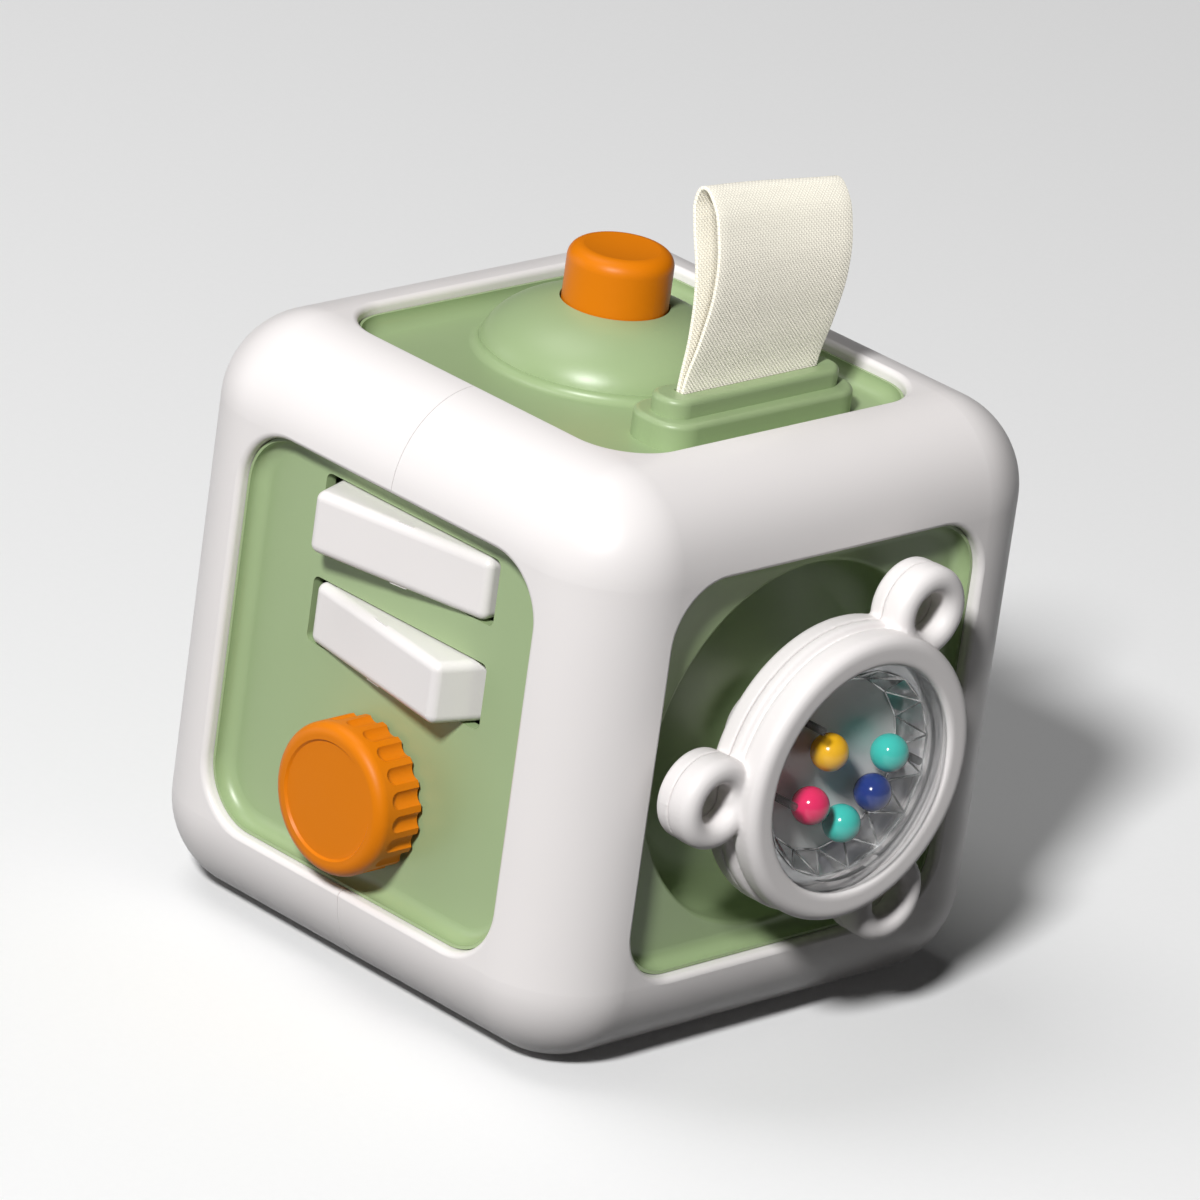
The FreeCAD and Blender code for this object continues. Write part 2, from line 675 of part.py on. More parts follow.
def push_button():
    """Round cap, open below, with the flange that keeps it in the dome."""
    top = dome_mouth_level() + BUTTON_PROUD
    flange_top = button_flange_top()
    low = flange_top - BUTTON_FLANGE_WALL
    corner = (BUTTON_RADIUS - BUTTON_ROUND, top - BUTTON_ROUND)
    inner = BUTTON_RADIUS - BUTTON_WALL
    rim = BUTTON_RADIUS - BUTTON_ROUND
    dish_middle = (rim / 2, top - BUTTON_DISH * HALFWAY)
    flange = BUTTON_RADIUS + BUTTON_FLANGE
    cap = turned((0, top - BUTTON_DISH), (dish_middle, (rim, top)),
                 (on_arc(corner, BUTTON_ROUND, 45), (BUTTON_RADIUS, top - BUTTON_ROUND)),
                 (BUTTON_RADIUS, flange_top), (flange, flange_top), (flange, low), (inner, low),
                 (inner, cap_inside()), (0, cap_inside()))
    return moved(cap, DOME_X, DOME_Y)


def guide_levels():
    base_top = PANEL_BACK - GUIDE_DROP
    return base_top - GUIDE_BASE, base_top


def button_guide():
    """Base disc and tube that the button's flange slides in."""
    low, base_top = guide_levels()
    tube_top = button_flange_top() - BUTTON_FLANGE_WALL / 2
    guide = rod(GUIDE_BASE_RADIUS, low, base_top)
    guide = guide.fuse(tube(GUIDE_BORE + GUIDE_WALL, GUIDE_BORE, base_top - OVER, tube_top))
    guide = guide.fuse(rod(SPRING_RADIUS - 2 * SPRING_WIRE - SPIGOT_GAP, low, base_top + GUIDE_WALL))
    guide = moved(guide, DOME_X, DOME_Y)
    for x, y in guide_boss_places():
        guide = guide.cut(rod(SCREW_RADIUS + SCREW_GAP, low - OVER, base_top + OVER, x, y))
    return guide.removeSplitter()


def guide_screws():
    low, base_top = guide_levels()
    screws = []
    for x, y in guide_boss_places():
        head_low = low - SCREW_HEAD_HEIGHT
        one = screw(0, GUIDE_BASE + GUIDE_DROP + SCREW_HEAD_HEIGHT - SCREW_SHORT, 0, 0)
        one = one.rotated(ORIGIN, V(1, 0, 0), 180)
        screws.append(moved(one, x, y, head_low))
    return Part.makeCompound(screws)


def button_spring():
    """Compression spring between the guide's base and the button's cap."""
    low, base_top = guide_levels()
    height = cap_inside() - base_top - 2 * SPRING_WIRE - 2 * LEDGE_GAP
    pitch = height / SPRING_TURNS
    radius = SPRING_RADIUS - SPRING_WIRE - LEDGE_GAP
    path = Part.makeHelix(pitch, height, radius)
    corners = [V(radius + x * SPRING_WIRE, 0, z * SPRING_WIRE)
               for x, z in ((-1, -1), (1, -1), (1, 1), (-1, 1), (-1, -1))]
    coil = Part.Wire(path).makePipeShell([Part.makePolygon(corners)], True, True)
    return moved(coil, DOME_X, DOME_Y, base_top + SPRING_WIRE + LEDGE_GAP)


# ---------------------------------------------------------------- ribbon

def ribbon_points():
    """Middle line of the loop from one ply to the other: (x, z) from the collar's top."""
    half = (RIBBON_THICK + RIBBON_TURN) / 2
    rise = RIBBON_RISE - RIBBON_THICK / 2
    between = [(x, share * rise) for x, share in LOOP_SHAPE]
    return [(-half, 0)] + between + [(half, 0)]


def ribbon_side(offset, skip):
    """Curve beside the loop's middle line; `skip` samples are left off each end."""
    middle = Part.BSplineCurve()
    middle.interpolate([V(x, 0, z) for x, z in ribbon_points()])
    first, last = middle.FirstParameter, middle.LastParameter
    count = LOOP_SAMPLES * len(ribbon_points())
    points = []
    for index in range(skip, count + 1 - skip):
        at = first + (last - first) * index / count
        direction = middle.tangent(at)[0]
        points.append(middle.value(at) + V(-direction.z, 0, direction.x) * offset)
    curve = Part.BSplineCurve()
    curve.interpolate(points)
    return curve


def closed_face(curve):
    """Face inside an open curve and the straight line between its ends."""
    closing = Part.makeLine(curve.EndPoint, curve.StartPoint)
    return Part.Face(Part.Wire([curve.toShape(), closing]))


def ribbon_loop():
    """Teardrop loop whose two plies run down together through the collar."""
    tail = UPPER_HEIGHT + PANEL_WALL + BAR_BITE
    half = RIBBON_THICK + RIBBON_TURN / 2
    across = V(0, RIBBON_WIDTH, 0)
    loop = closed_face(ribbon_side(RIBBON_THICK / 2, 0)).extrude(across)
    inside = closed_face(ribbon_side(-RIBBON_THICK / 2, LOOP_FORK)).extrude(across * 2)
    loop = loop.cut(inside.translated(across * -0.5))
    plies = Part.makeBox(2 * half, RIBBON_WIDTH, tail + OVER / 2, V(-half, 0, -tail))
    loop = loop.fuse(plies).removeSplitter()
    return moved(loop, COLLAR_X, COLLAR_Y - RIBBON_WIDTH / 2, FLOOR + UPPER_HEIGHT)


def ribbon_bar():
    """Bar under the panel that grips the ribbon's two ends."""
    bar = plate(BAR_HALF_X, BAR_HALF_Y, BAR_CORNER, PANEL_BACK - BAR_HEIGHT, PANEL_BACK)
    half_slot = RIBBON_THICK + RIBBON_TURN / 2
    slot = Part.makeBox(2 * half_slot, RIBBON_WIDTH, BAR_BITE + OVER)
    slot.translate(V(-half_slot, -RIBBON_WIDTH / 2, PANEL_BACK - BAR_BITE))
    return moved(bar.cut(slot), COLLAR_X, COLLAR_Y)


# ---------------------------------------------------------------- keys

def key_body(face_half, base_half, half_y, low, high, round_off):
    """Block that narrows towards its front face."""
    sections = []
    for half_x, level in ((base_half, low), (face_half, high)):
        corners = [V(-half_x, -half_y, level), V(half_x, -half_y, level),
                   V(half_x, half_y, level), V(-half_x, half_y, level)]
        sections.append(Part.makePolygon(corners + corners[:1]))
    block = Part.makeLoft(sections, True, True)
    outer = [e for e in block.Edges if e.BoundBox.ZMax > low + round_off]
    return block.makeFillet(round_off, outer)


def key():
    """Level key, drawn looking up about its pivot axis on local Y."""
    high = FLOOR + KEY_PROUD
    low = high - KEY_DEPTH
    half_y = KEY_HEIGHT / 2
    block = key_body(KEY_FACE / 2, KEY_BASE / 2, half_y, low, high, KEY_ROUND)
    hollow = Part.makeBox(KEY_FACE - 2 * KEY_WALL, KEY_HEIGHT - 2 * KEY_WALL, KEY_DEPTH - KEY_WALL)
    hollow.translate(V(KEY_WALL - KEY_FACE / 2, KEY_WALL - half_y, low))
    hub = cross_rod(KEY_HUB_RADIUS, -half_y, half_y, pivot_level())
    web = Part.makeBox(2 * KEY_WALL, KEY_HEIGHT, high - KEY_WALL / 2 - pivot_level())
    web.translate(V(-KEY_WALL, -half_y, pivot_level()))
    block = block.cut(hollow).fuse(hub).fuse(web)
    bore = cross_rod(PIN_RADIUS + PIN_GAP, -KEY_HEIGHT, KEY_HEIGHT, pivot_level())
    return block.cut(bore).removeSplitter()


def tilted_key(z, degrees):
    tilted = key().rotated(V(0, 0, pivot_level()), V(0, 1, 0), degrees)
    return moved(tilted, KEY_X, z)


def key_pin():
    spans = lug_spans()
    return moved(cross_rod(PIN_RADIUS, spans[-1][0], spans[0][1], pivot_level()), KEY_X, 0)


# ---------------------------------------------------------------- knob

def flute_cutters(low, high):
    cutters = []
    centre = KNOB_RADIUS - FLUTE_DEPTH + FLUTE_RADIUS
    for index in range(FLUTES):
        angle = 2 * math.pi * index / FLUTES
        x = centre * math.cos(angle)
        y = centre * math.sin(angle)
        groove = rod(FLUTE_RADIUS, low, high, x, y)
        cutters.append(groove.fuse(Part.makeSphere(FLUTE_RADIUS, V(x, y, high))))
    return cutters


def knob():
    """Fluted cap with a stem that turns in the front panel."""
    high = FLOOR + KNOB_PROUD
    low = FLOOR + KNOB_GAP
    rim = KNOB_RADIUS - KNOB_ROUND
    corner = (rim, high - KNOB_ROUND)
    dish = KNOB_RADIUS - KNOB_DISH_EDGE
    stem_low = PANEL_BACK - CLICK_WHEEL_DROP - CLICK_WHEEL_WALL
    inner = KNOB_RADIUS - KNOB_WALL
    roof = high - KNOB_WALL
    cap = turned((0, high - KNOB_DISH), (dish - KNOB_DISH, high - KNOB_DISH), (dish, high),
                 (rim, high),
                 (on_arc(corner, KNOB_ROUND, 45), (KNOB_RADIUS, high - KNOB_ROUND)),
                 (KNOB_RADIUS, low), (inner, low), (inner, roof), (STEM_RADIUS, roof),
                 (STEM_RADIUS, stem_low), (0, stem_low))
    for cutter in flute_cutters(low - OVER, high - FLUTE_STOP - FLUTE_RADIUS):
        cap = cap.cut(cutter)
    cap = cap.cut(rod(SCREW_RADIUS, stem_low - OVER, FLOOR))
    return moved(cap, KNOB_X, KNOB_Z)


def click_wheel():
    """Toothed wheel pressed on the knob's stem."""
    high = PANEL_BACK - CLICK_WHEEL_DROP
    low = high - CLICK_WHEEL_WALL
    points = []
    for index in range(2 * CLICK_TEETH):
        radius = CLICK_WHEEL_RADIUS - CLICK_TOOTH * (index % 2)
        angle = math.pi * index / CLICK_TEETH
        points.append(V(radius * math.sin(angle), radius * math.cos(angle), low))
    wheel = Part.Face(Part.makePolygon(points + points[:1])).extrude(V(0, 0, high - low))
    return moved(wheel.cut(rod(STEM_RADIUS, low - OVER, high + OVER)), KNOB_X, KNOB_Z)


def click_spring():
    """Leaf that rests beside the click wheel's teeth."""
    x, z = click_post()
    high = PANEL_BACK - CLICK_WHEEL_DROP
    length = CLICK_LEAF_LENGTH + BOSS_RADIUS
    leaf = Part.makeBox(length, CLICK_LEAF, CLICK_WHEEL_WALL)
    leaf.translate(V(x + BOSS_RADIUS - length, z, high - CLICK_WHEEL_WALL))
    return leaf


def knob_screw():
    stem_low = PANEL_BACK - CLICK_WHEEL_DROP - CLICK_WHEEL_WALL
    length = SCREW_HEAD_HEIGHT + KNOB_WALL + CLICK_WHEEL_WALL
    one = screw(0, length, 0, 0).rotated(ORIGIN, V(1, 0, 0), 180)
    head = rod(STEM_RADIUS + OVER, -SCREW_SLOT, 0)
    one = one.fuse(head.translated(V(0, 0, SCREW_HEAD_HEIGHT))).removeSplitter()
    return moved(one, KNOB_X, KNOB_Z, stem_low - SCREW_HEAD_HEIGHT)


# ---------------------------------------------------------------- spinner

def ear_angles():
    """Directions of the ears round the spinner, in degrees."""
    return [180 + 360 / EARS * index for index in range(EARS)]


def ear_solid(low, high, low_round, high_round):
    """One ear with its neck to the ring, drawn out along local +X."""
    ring = rod(EAR_RADIUS, low, high, EAR_AT, 0)
    neck_half = EAR_RADIUS * EAR_NECK
    neck = Part.makeBox(EAR_AT - RING_FRONT_RADIUS + 2 * OVER, 2 * neck_half, RING_STEP - low)
    neck.translate(V(RING_FRONT_RADIUS - 2 * OVER, -neck_half, low))
    ring = ring.makeFillet(high_round, edges_at(ring, high)) if high_round else ring
    ring = ring.makeFillet(low_round, edges_at(ring, low)) if low_round else ring
    return ring.fuse(neck)


def all_ears(low, high, low_round, high_round):
    ears = []
    for degrees in ear_angles():
        ears.append(ear_solid(low, high, low_round, high_round).rotated(ORIGIN, UP, degrees))
    return ears


def ear_holes():
    """Ear holes with rounded mouths, as turned cutters."""
    holes = []
    mouth = EAR_MOUTH
    centre_high = (EAR_HOLE + mouth, EAR_FRONT - mouth)
    for degrees in ear_angles():
        hole = turned((0, EAR_BACK - OVER), (EAR_HOLE, EAR_BACK - OVER), (EAR_HOLE, EAR_FRONT - mouth),
                      (on_arc(centre_high, mouth, 135), (EAR_HOLE + mouth, EAR_FRONT)),
                      (EAR_HOLE + mouth, EAR_FRONT + OVER), (0, EAR_FRONT + OVER))
        holes.append(moved(hole, EAR_AT, 0).rotated(ORIGIN, UP, degrees))
    return holes


def spinner_front():
    """Front half of the spinner: the fat ring and the fronts of the ears."""
    shoulder_in, shoulder_down = SHOULDER_MIDDLE
    slope_in, slope_down = SLOPE_MIDDLE
    band = turned((SHELL_INNER, RING_SPLIT), (RING_RADIUS, RING_SPLIT), (RING_RADIUS, RING_STEP),
                  (RING_FRONT_RADIUS, RING_STEP + (RING_RADIUS - RING_FRONT_RADIUS) / 2),
                  (RING_FRONT_RADIUS, RING_STEP + OVER),
                  ((RING_FRONT_RADIUS - shoulder_in, RING_TOP - shoulder_down),
                   (RING_FRONT_RADIUS - RING_SHOULDER, RING_TOP)),
                  ((SIGHT_RADIUS + slope_in, RING_TOP - slope_down), (SIGHT_RADIUS, SIGHT_LEVEL)),
                  (SIGHT_RADIUS, SEAT_LEVEL), (SHELL_INNER, SEAT_LEVEL))
    inside = rod(SHELL_INNER, RING_SPLIT - OVER, SEAT_LEVEL)
    ears = [ear.cut(inside) for ear in all_ears(RING_SPLIT, EAR_FRONT, 0, EAR_ROUND)]
    return band.fuse(ears).cut(ear_holes()).removeSplitter()


def spinner_rear():
    """Rear half: flange, spindle with the recess for the axle's head, and the backs of the ears."""
    ring_high = RING_SPLIT
    hub_top = RING_BACK - AXLE_PLAY - AXLE_HEAD_WALL
    edge = RING_RADIUS - RING_BACK_ROUND
    corner = (edge, RING_BACK + RING_BACK_ROUND)
    split = RING_RADIUS - RING_SPLIT_GROOVE
    body = turned((HUB_RADIUS, hub_top), (0, hub_top), (0, SPINDLE_BACK), (SPINDLE_RADIUS, SPINDLE_BACK),
                  (SPINDLE_RADIUS, RING_BACK), (edge, RING_BACK),
                  (on_arc(corner, RING_BACK_ROUND, -45), (RING_RADIUS, RING_BACK + RING_BACK_ROUND)),
                  (RING_RADIUS, ring_high - RING_SPLIT_GROOVE), (split, ring_high),
                  (SHELL_INNER, ring_high), (SHELL_INNER, DISC_TOP - DISC_WALL),
                  (HUB_RADIUS, DISC_TOP - DISC_WALL))
    inside = rod(SHELL_INNER, RING_BACK + OVER, RING_SPLIT + OVER)
    for ear in all_ears(EAR_BACK, RING_SPLIT, EAR_BACK_ROUND, 0):
        neck_back = rod(RING_FRONT_RADIUS, EAR_BACK - OVER, RING_SPLIT + OVER)
        body = body.fuse(ear.common(rod(2 * EAR_AT, EAR_BACK, RING_SPLIT)).cut(inside).cut(neck_back))
    for hole in ear_holes():
        body = body.cut(hole)
    return body.cut(rod(AXLE_RADIUS + AXLE_GAP, SPINDLE_BACK - OVER, RING_SPLIT)).removeSplitter()


def window_sphere(drop):
    """Centre level and radius of the window's curved skin, `drop` inside."""
    edge = SIGHT_RADIUS - WINDOW_FIT
    rise = WINDOW_TOP - SIGHT_LEVEL
    radius = (edge ** 2 + rise ** 2) / (2 * rise)
    return WINDOW_TOP - radius, radius - drop


def spinner_window():
    """Clear domed window with a flange behind the ring's lip."""
    edge = SIGHT_RADIUS - WINDOW_FIT
    level, outer = window_sphere(0)
    level, inner = window_sphere(WINDOW_WALL)
    inner_edge = edge - WINDOW_WALL
    flange_low = SEAT_LEVEL - WINDOW_FLANGE
    outer_middle = (edge / 2, level + math.sqrt(outer ** 2 - (edge / 2) ** 2))
    inner_middle = (inner_edge / 2, level + math.sqrt(inner ** 2 - (inner_edge / 2) ** 2))
    inner_end = (inner_edge, level + math.sqrt(inner ** 2 - inner_edge ** 2))
    return turned((0, WINDOW_TOP), (outer_middle, (edge, SIGHT_LEVEL)), (edge, SEAT_LEVEL),
                  (SHELL_INNER - WINDOW_FIT, SEAT_LEVEL), (SHELL_INNER - WINDOW_FIT, flange_low),
                  (inner_edge, flange_low), inner_end, (inner_middle, (0, WINDOW_TOP - WINDOW_WALL)))


def facet_cup():
    """Clear ring with a faceted inner wall, and its three posts."""
    points_low = []
    points_high = []
    step = 2 * math.pi / CUP_SIDES
    for index in range(CUP_SIDES):
        low = step * index
        high = step * (index + 0.5)
        points_low.append(V(CUP_INNER * math.cos(low), CUP_INNER * math.sin(low), CUP_BASE))
        points_high.append(V(CUP_FLARE * math.cos(high), CUP_FLARE * math.sin(high), CUP_TOP))
    faces = []
    for ring in (points_low, points_high):
        faces.append(Part.Face(Part.makePolygon(ring + ring[:1])))
    for index in range(CUP_SIDES):
        after = (index + 1) % CUP_SIDES
        rising = (points_low[index], points_high[index], points_low[after])
        falling = (points_high[index], points_high[after], points_low[after])
        for corners in (rising, falling):
            faces.append(Part.Face(Part.makePolygon(list(corners) + [corners[0]])))
    core = Part.makeSolid(Part.makeShell(faces))
    cup = rod(CUP_OUTER, CUP_BASE, CUP_TOP).cut(core)
    for degrees in POST_ANGLES:
        angle = math.radians(degrees)
        x = POST_AT * math.cos(angle)
        y = POST_AT * math.sin(angle)
        post = rod(POST_RADIUS, CUP_BASE, POST_TOP, x, y)
        foot = Part.makeBox(CUP_FLARE - POST_AT, 2 * POST_RADIUS, POST_RADIUS, V(0, -POST_RADIUS, CUP_BASE))
        foot = foot.translated(V(POST_AT, 0, 0)).rotated(ORIGIN, UP, degrees)
        cup = cup.fuse(post).fuse(foot)
    return cup.removeSplitter()


def backing_disc():
    return rod(SHELL_INNER - WINDOW_FIT, DISC_TOP - DISC_WALL, DISC_TOP)


def spinner_axle():
    """Shoulder pin fixed in the right panel; its head keeps the spinner on."""
    low = FLOOR - DISH_DEPTH - AXLE_BOSS_DEPTH
    head_low = RING_BACK - AXLE_HEAD_WALL
    return rod(AXLE_RADIUS, low, head_low).fuse(rod(AXLE_HEAD_RADIUS, head_low, RING_BACK)).removeSplitter()


def bead(y, z):
    """Bead at a place in the field inside the cup's posts."""
    scale = POST_AT / BEAD_FIELD
    return Part.makeSphere(BEAD_RADIUS, V(BEAD_LEVEL, y * scale, z * scale))


# ---------------------------------------------------------------- all pieces

frame_left, frame_right = half_shells()
save("frame_left", frame_left)
save("frame_right", frame_right)
save("top_panel", top_panel())
save("front_panel", to_front(front_panel()))
save("right_panel", to_right(right_panel()))
save("back_panel", to_back(tray()))
save("left_panel", to_left(tray()))
save("base_panel", to_bottom(base_panel()))
save("base_screws", to_bottom(base_screws()))
save("push_button", push_button())
save("button_guide", button_guide())
save("guide_screws", guide_screws())
save("button_spring", button_spring())
save("ribbon_loop", ribbon_loop())
save("ribbon_bar", ribbon_bar())
save("key_upper", to_front(tilted_key(KEY_UPPER_Z, KEY_TILT)))
save("key_lower", to_front(tilted_key(KEY_LOWER_Z, -KEY_TILT)))
save("key_pin", to_front(key_pin()))
save("knob", to_front(knob()))
save("click_wheel", to_front(click_wheel()))
save("click_spring", to_front(click_spring()))
save("knob_screw", to_front(knob_screw()))
save("spinner_front", to_right(spinner_front()))
save("spinner_rear", to_right(spinner_rear()))
save("spinner_window", to_right(spinner_window()))
save("facet_cup", to_right(facet_cup()))
save("backing_disc", to_right(backing_disc()))
save("spinner_axle", to_right(spinner_axle()))
for bead_name, bead_y, bead_z in BEADS:
    save(bead_name, bead(bead_y, bead_z))
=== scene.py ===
import math

import bmesh
import bpy
from bpy.props import FloatProperty, FloatVectorProperty, IntProperty, PointerProperty
from mathutils import Matrix, Vector


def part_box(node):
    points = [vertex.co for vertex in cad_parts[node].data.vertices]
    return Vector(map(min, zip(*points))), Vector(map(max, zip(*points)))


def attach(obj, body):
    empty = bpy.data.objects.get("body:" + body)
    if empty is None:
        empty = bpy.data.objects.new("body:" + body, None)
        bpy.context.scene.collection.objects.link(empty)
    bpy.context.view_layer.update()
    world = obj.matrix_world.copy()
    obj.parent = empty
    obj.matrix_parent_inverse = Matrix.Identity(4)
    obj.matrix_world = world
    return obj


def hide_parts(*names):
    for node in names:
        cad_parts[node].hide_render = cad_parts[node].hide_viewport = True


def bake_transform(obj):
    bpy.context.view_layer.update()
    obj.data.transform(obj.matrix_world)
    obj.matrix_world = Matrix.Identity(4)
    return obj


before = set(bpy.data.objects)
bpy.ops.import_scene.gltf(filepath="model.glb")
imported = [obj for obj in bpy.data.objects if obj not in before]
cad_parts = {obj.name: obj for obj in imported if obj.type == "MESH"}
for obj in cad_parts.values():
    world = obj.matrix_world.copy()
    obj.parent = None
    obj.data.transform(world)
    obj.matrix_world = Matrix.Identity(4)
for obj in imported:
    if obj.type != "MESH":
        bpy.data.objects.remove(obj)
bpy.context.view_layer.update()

bl_info = {
    "name": "Baby Activity Cube",
    "version": (1, 0, 0),
    "blender": (4, 5, 0),
    "location": "View3D > Sidebar > Activity Cube",
    "description": "Finishes the activity cube around its packed CAD frame",
    "category": "Object",
}

MM = 0.001
MERGE = 1e-7
SMOOTH_ANGLE = math.radians(38)
SHELL_SMOOTH = math.radians(60)
CUBE = Vector((0, 0, sum(corner.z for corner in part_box("frame_left")) / 2))


class CubeSizes(bpy.types.PropertyGroup):
    """Sizes of the pieces that are modelled here."""

    lathe_steps: IntProperty(
        name="Lathe steps", description="Segments round a turned piece", default=96, min=24)
    voxel: FloatProperty(
        name="Voxel", description="Grain of the blended spinner halves",
        default=0.00030, unit="LENGTH")
    tape_width: FloatProperty(
        name="Tape width", description="Width of the ribbon tag", default=0.0292, unit="LENGTH")
    tape_thickness: FloatProperty(
        name="Tape thickness", description="Thickness of the ribbon tag",
        default=0.0006, unit="LENGTH")
    tape_slope: FloatProperty(
        name="Tape slope", description="How much lower the loop stands at its far edge",
        default=0.0026, unit="LENGTH")
    thread_pitch: FloatProperty(
        name="Thread pitch", description="Spacing of the tape's threads",
        default=0.00036, unit="LENGTH")


class CubeColours(bpy.types.PropertyGroup):
    """Colours of the finishes."""

    shell: FloatVectorProperty(
        name="Shell", description="Warm white of the body", subtype="COLOR",
        default=(0.845, 0.81, 0.80))
    panel: FloatVectorProperty(
        name="Panels", description="Sage green of the trays", subtype="COLOR",
        default=(0.335, 0.44, 0.23))
    accent: FloatVectorProperty(
        name="Accent", description="Orange of the button and knob", subtype="COLOR",
        default=(0.73, 0.20, 0.002))
    tape: FloatVectorProperty(
        name="Tape", description="Unbleached cotton of the ribbon", subtype="COLOR",
        default=(0.80, 0.76, 0.65))
    disc: FloatVectorProperty(
        name="Disc", description="Grey disc behind the beads", subtype="COLOR",
        default=(0.74, 0.74, 0.73))
    inner: FloatVectorProperty(
        name="Inner parts", description="Plain moulded inner parts", subtype="COLOR",
        default=(0.60, 0.60, 0.58))


class CubeLights(bpy.types.PropertyGroup):
    """Strengths of the studio lights."""

    key_power: FloatProperty(name="Key", description="Main softbox", default=98.0, unit="POWER")
    fill_power: FloatProperty(
        name="Fill", description="Left-hand softbox", default=11.0, unit="POWER")
    top_power: FloatProperty(
        name="Top", description="Overhead softbox", default=14.0, unit="POWER")
    sky: FloatProperty(name="Sky", description="Even light from all round", default=0.03)
    tape_power: FloatProperty(
        name="Tape light", description="Small softbox that lights the ribbon alone",
        default=38.0, unit="POWER")


# ---------------------------------------------------------------- materials

def start_material(name):
    """Material with its shader and a set of Object coordinates."""
    material = bpy.data.materials.new(name)
    material.use_nodes = True
    nodes = material.node_tree.nodes
    shader = nodes["Principled BSDF"]
    coords = nodes.new("ShaderNodeTexCoord")
    return material, nodes, material.node_tree.links, shader, coords


def noise(nodes, links, vector, scale, detail=2.0):
    texture = nodes.new("ShaderNodeTexNoise")
    texture.inputs["Scale"].default_value = scale
    texture.inputs["Detail"].default_value = detail
    links.new(vector, texture.inputs["Vector"])
    return texture.outputs["Fac"]


def spread(nodes, links, value, low, high):
    """Map a noise value on to a range."""
    mapping = nodes.new("ShaderNodeMapRange")
    mapping.inputs["From Min"].default_value = 0.3
    mapping.inputs["From Max"].default_value = 0.7
    mapping.inputs["To Min"].default_value = low
    mapping.inputs["To Max"].default_value = high
    links.new(value, mapping.inputs["Value"])
    return mapping.outputs["Result"]


def tinted(nodes, links, value, colour, change):
    """Colour that drifts a little with a noise value."""
    mix = nodes.new("ShaderNodeMix")
    mix.data_type = "RGBA"
    mix.inputs["A"].default_value = (*[c * (1 - change) for c in colour], 1)
    mix.inputs["B"].default_value = (*[min(1, c * (1 + change)) for c in colour], 1)
    links.new(value, mix.inputs["Factor"])
    return mix.outputs["Result"]


def bumped(nodes, links, shader, height, strength, distance, below=None):
    bump = nodes.new("ShaderNodeBump")
    bump.inputs["Strength"].default_value = strength
    bump.inputs["Distance"].default_value = distance
    links.new(height, bump.inputs["Height"])
    if below:
        links.new(below, bump.inputs["Normal"])
    links.new(bump.outputs["Normal"], shader.inputs["Normal"])
    return bump.outputs["Normal"]


def plastic(name, colour, roughness, change=0.035, grain=0.25, shine=0.5):
    """Moulded plastic: faint drift of tone, uneven sheen and a fine mould grain."""
    material, nodes, links, shader, coords = start_material(name)
    place = coords.outputs["Object"]
    links.new(tinted(nodes, links, noise(nodes, links, place, 28), colour, change),
              shader.inputs["Base Color"])
    sheen = noise(nodes, links, place, 90, 6)
    links.new(spread(nodes, links, sheen, roughness - 0.04, roughness + 0.05),
              shader.inputs["Roughness"])
    flow = bumped(nodes, links, shader, noise(nodes, links, place, 55, 1), 0.25, 0.00012)
    bumped(nodes, links, shader, noise(nodes, links, place, 2600, 3), grain, 0.00002, flow)
    shader.inputs["Specular IOR Level"].default_value = shine
    shader.inputs["IOR"].default_value = 1.49
    return material


def steel(name, weave_shade_and_slub_tone):
    """Turned or drawn steel with fine scratches."""
    material, nodes, links, shader, coords = start_material(name)
    stretch = nodes.new("ShaderNodeMapping")
    stretch.inputs["Scale"].default_value = (1, 12, 1)
    links.new(coords.outputs["Object"], stretch.inputs["Vector"])
    scratches = noise(nodes, links, stretch.outputs["Vector"], 900, 4)
    links.new(tinted(nodes, links, scratches, (weave_shade_and_slub_tone, weave_shade_and_slub_tone, weave_shade_and_slub_tone * 1.02), 0.12),
              shader.inputs["Base Color"])
    links.new(spread(nodes, links, scratches, 0.22, 0.42), shader.inputs["Roughness"])
    bumped(nodes, links, shader, scratches, 0.3, 0.00001)
    shader.inputs["Metallic"].default_value = 1.0
    return material


def solid_at_edges(nodes, links, shader, least, power):
    """Opacity that grows from `least`, seen square on, to full where the surface is edge on."""
    weight = nodes.new("ShaderNodeLayerWeight")
    weight.inputs["Blend"].default_value = 0.5
    grazing = math_node(nodes, links, "POWER", weight.outputs["Facing"], power)
    mapping = nodes.new("ShaderNodeMapRange")
    mapping.inputs["To Min"].default_value = least
    links.new(grazing, mapping.inputs["Value"])
    links.new(mapping.outputs["Result"], shader.inputs["Alpha"])


def clear(name, least, power, roughness):
    """Clear moulded plastic: only its gloss is seen, and more of it towards the edges."""
    material, nodes, links, shader, coords = start_material(name)
    place = coords.outputs["Object"]
    bumped(nodes, links, shader, noise(nodes, links, place, 60, 2), 0.25, 0.0001)
    solid_at_edges(nodes, links, shader, least, power)
    haze = noise(nodes, links, place, 300, 5)
    links.new(spread(nodes, links, haze, roughness, roughness + 0.05), shader.inputs["Roughness"])
    shader.inputs["Base Color"].default_value = (0.95, 0.96, 0.97, 1)
    shader.inputs["Metallic"].default_value = 1.0
    return material


def clear_painted_dark(name, colour, least, power):
    """Clear plastic seen edge on, with painted shade: a dark, streaked grey stands in for what it
    bends into view.
    """
    material, nodes, links, shader, coords = start_material(name)
    solid_at_edges(nodes, links, shader, least, power)
    # Painted shade: the streaked dark grey colour stands in for the clear plastic's refraction.
    streaks = noise(nodes, links, coords.outputs["Object"], 400, 3)
    links.new(tinted(nodes, links, streaks, colour, 0.3), shader.inputs["Base Color"])
    shader.inputs["Roughness"].default_value = 0.1
    return material


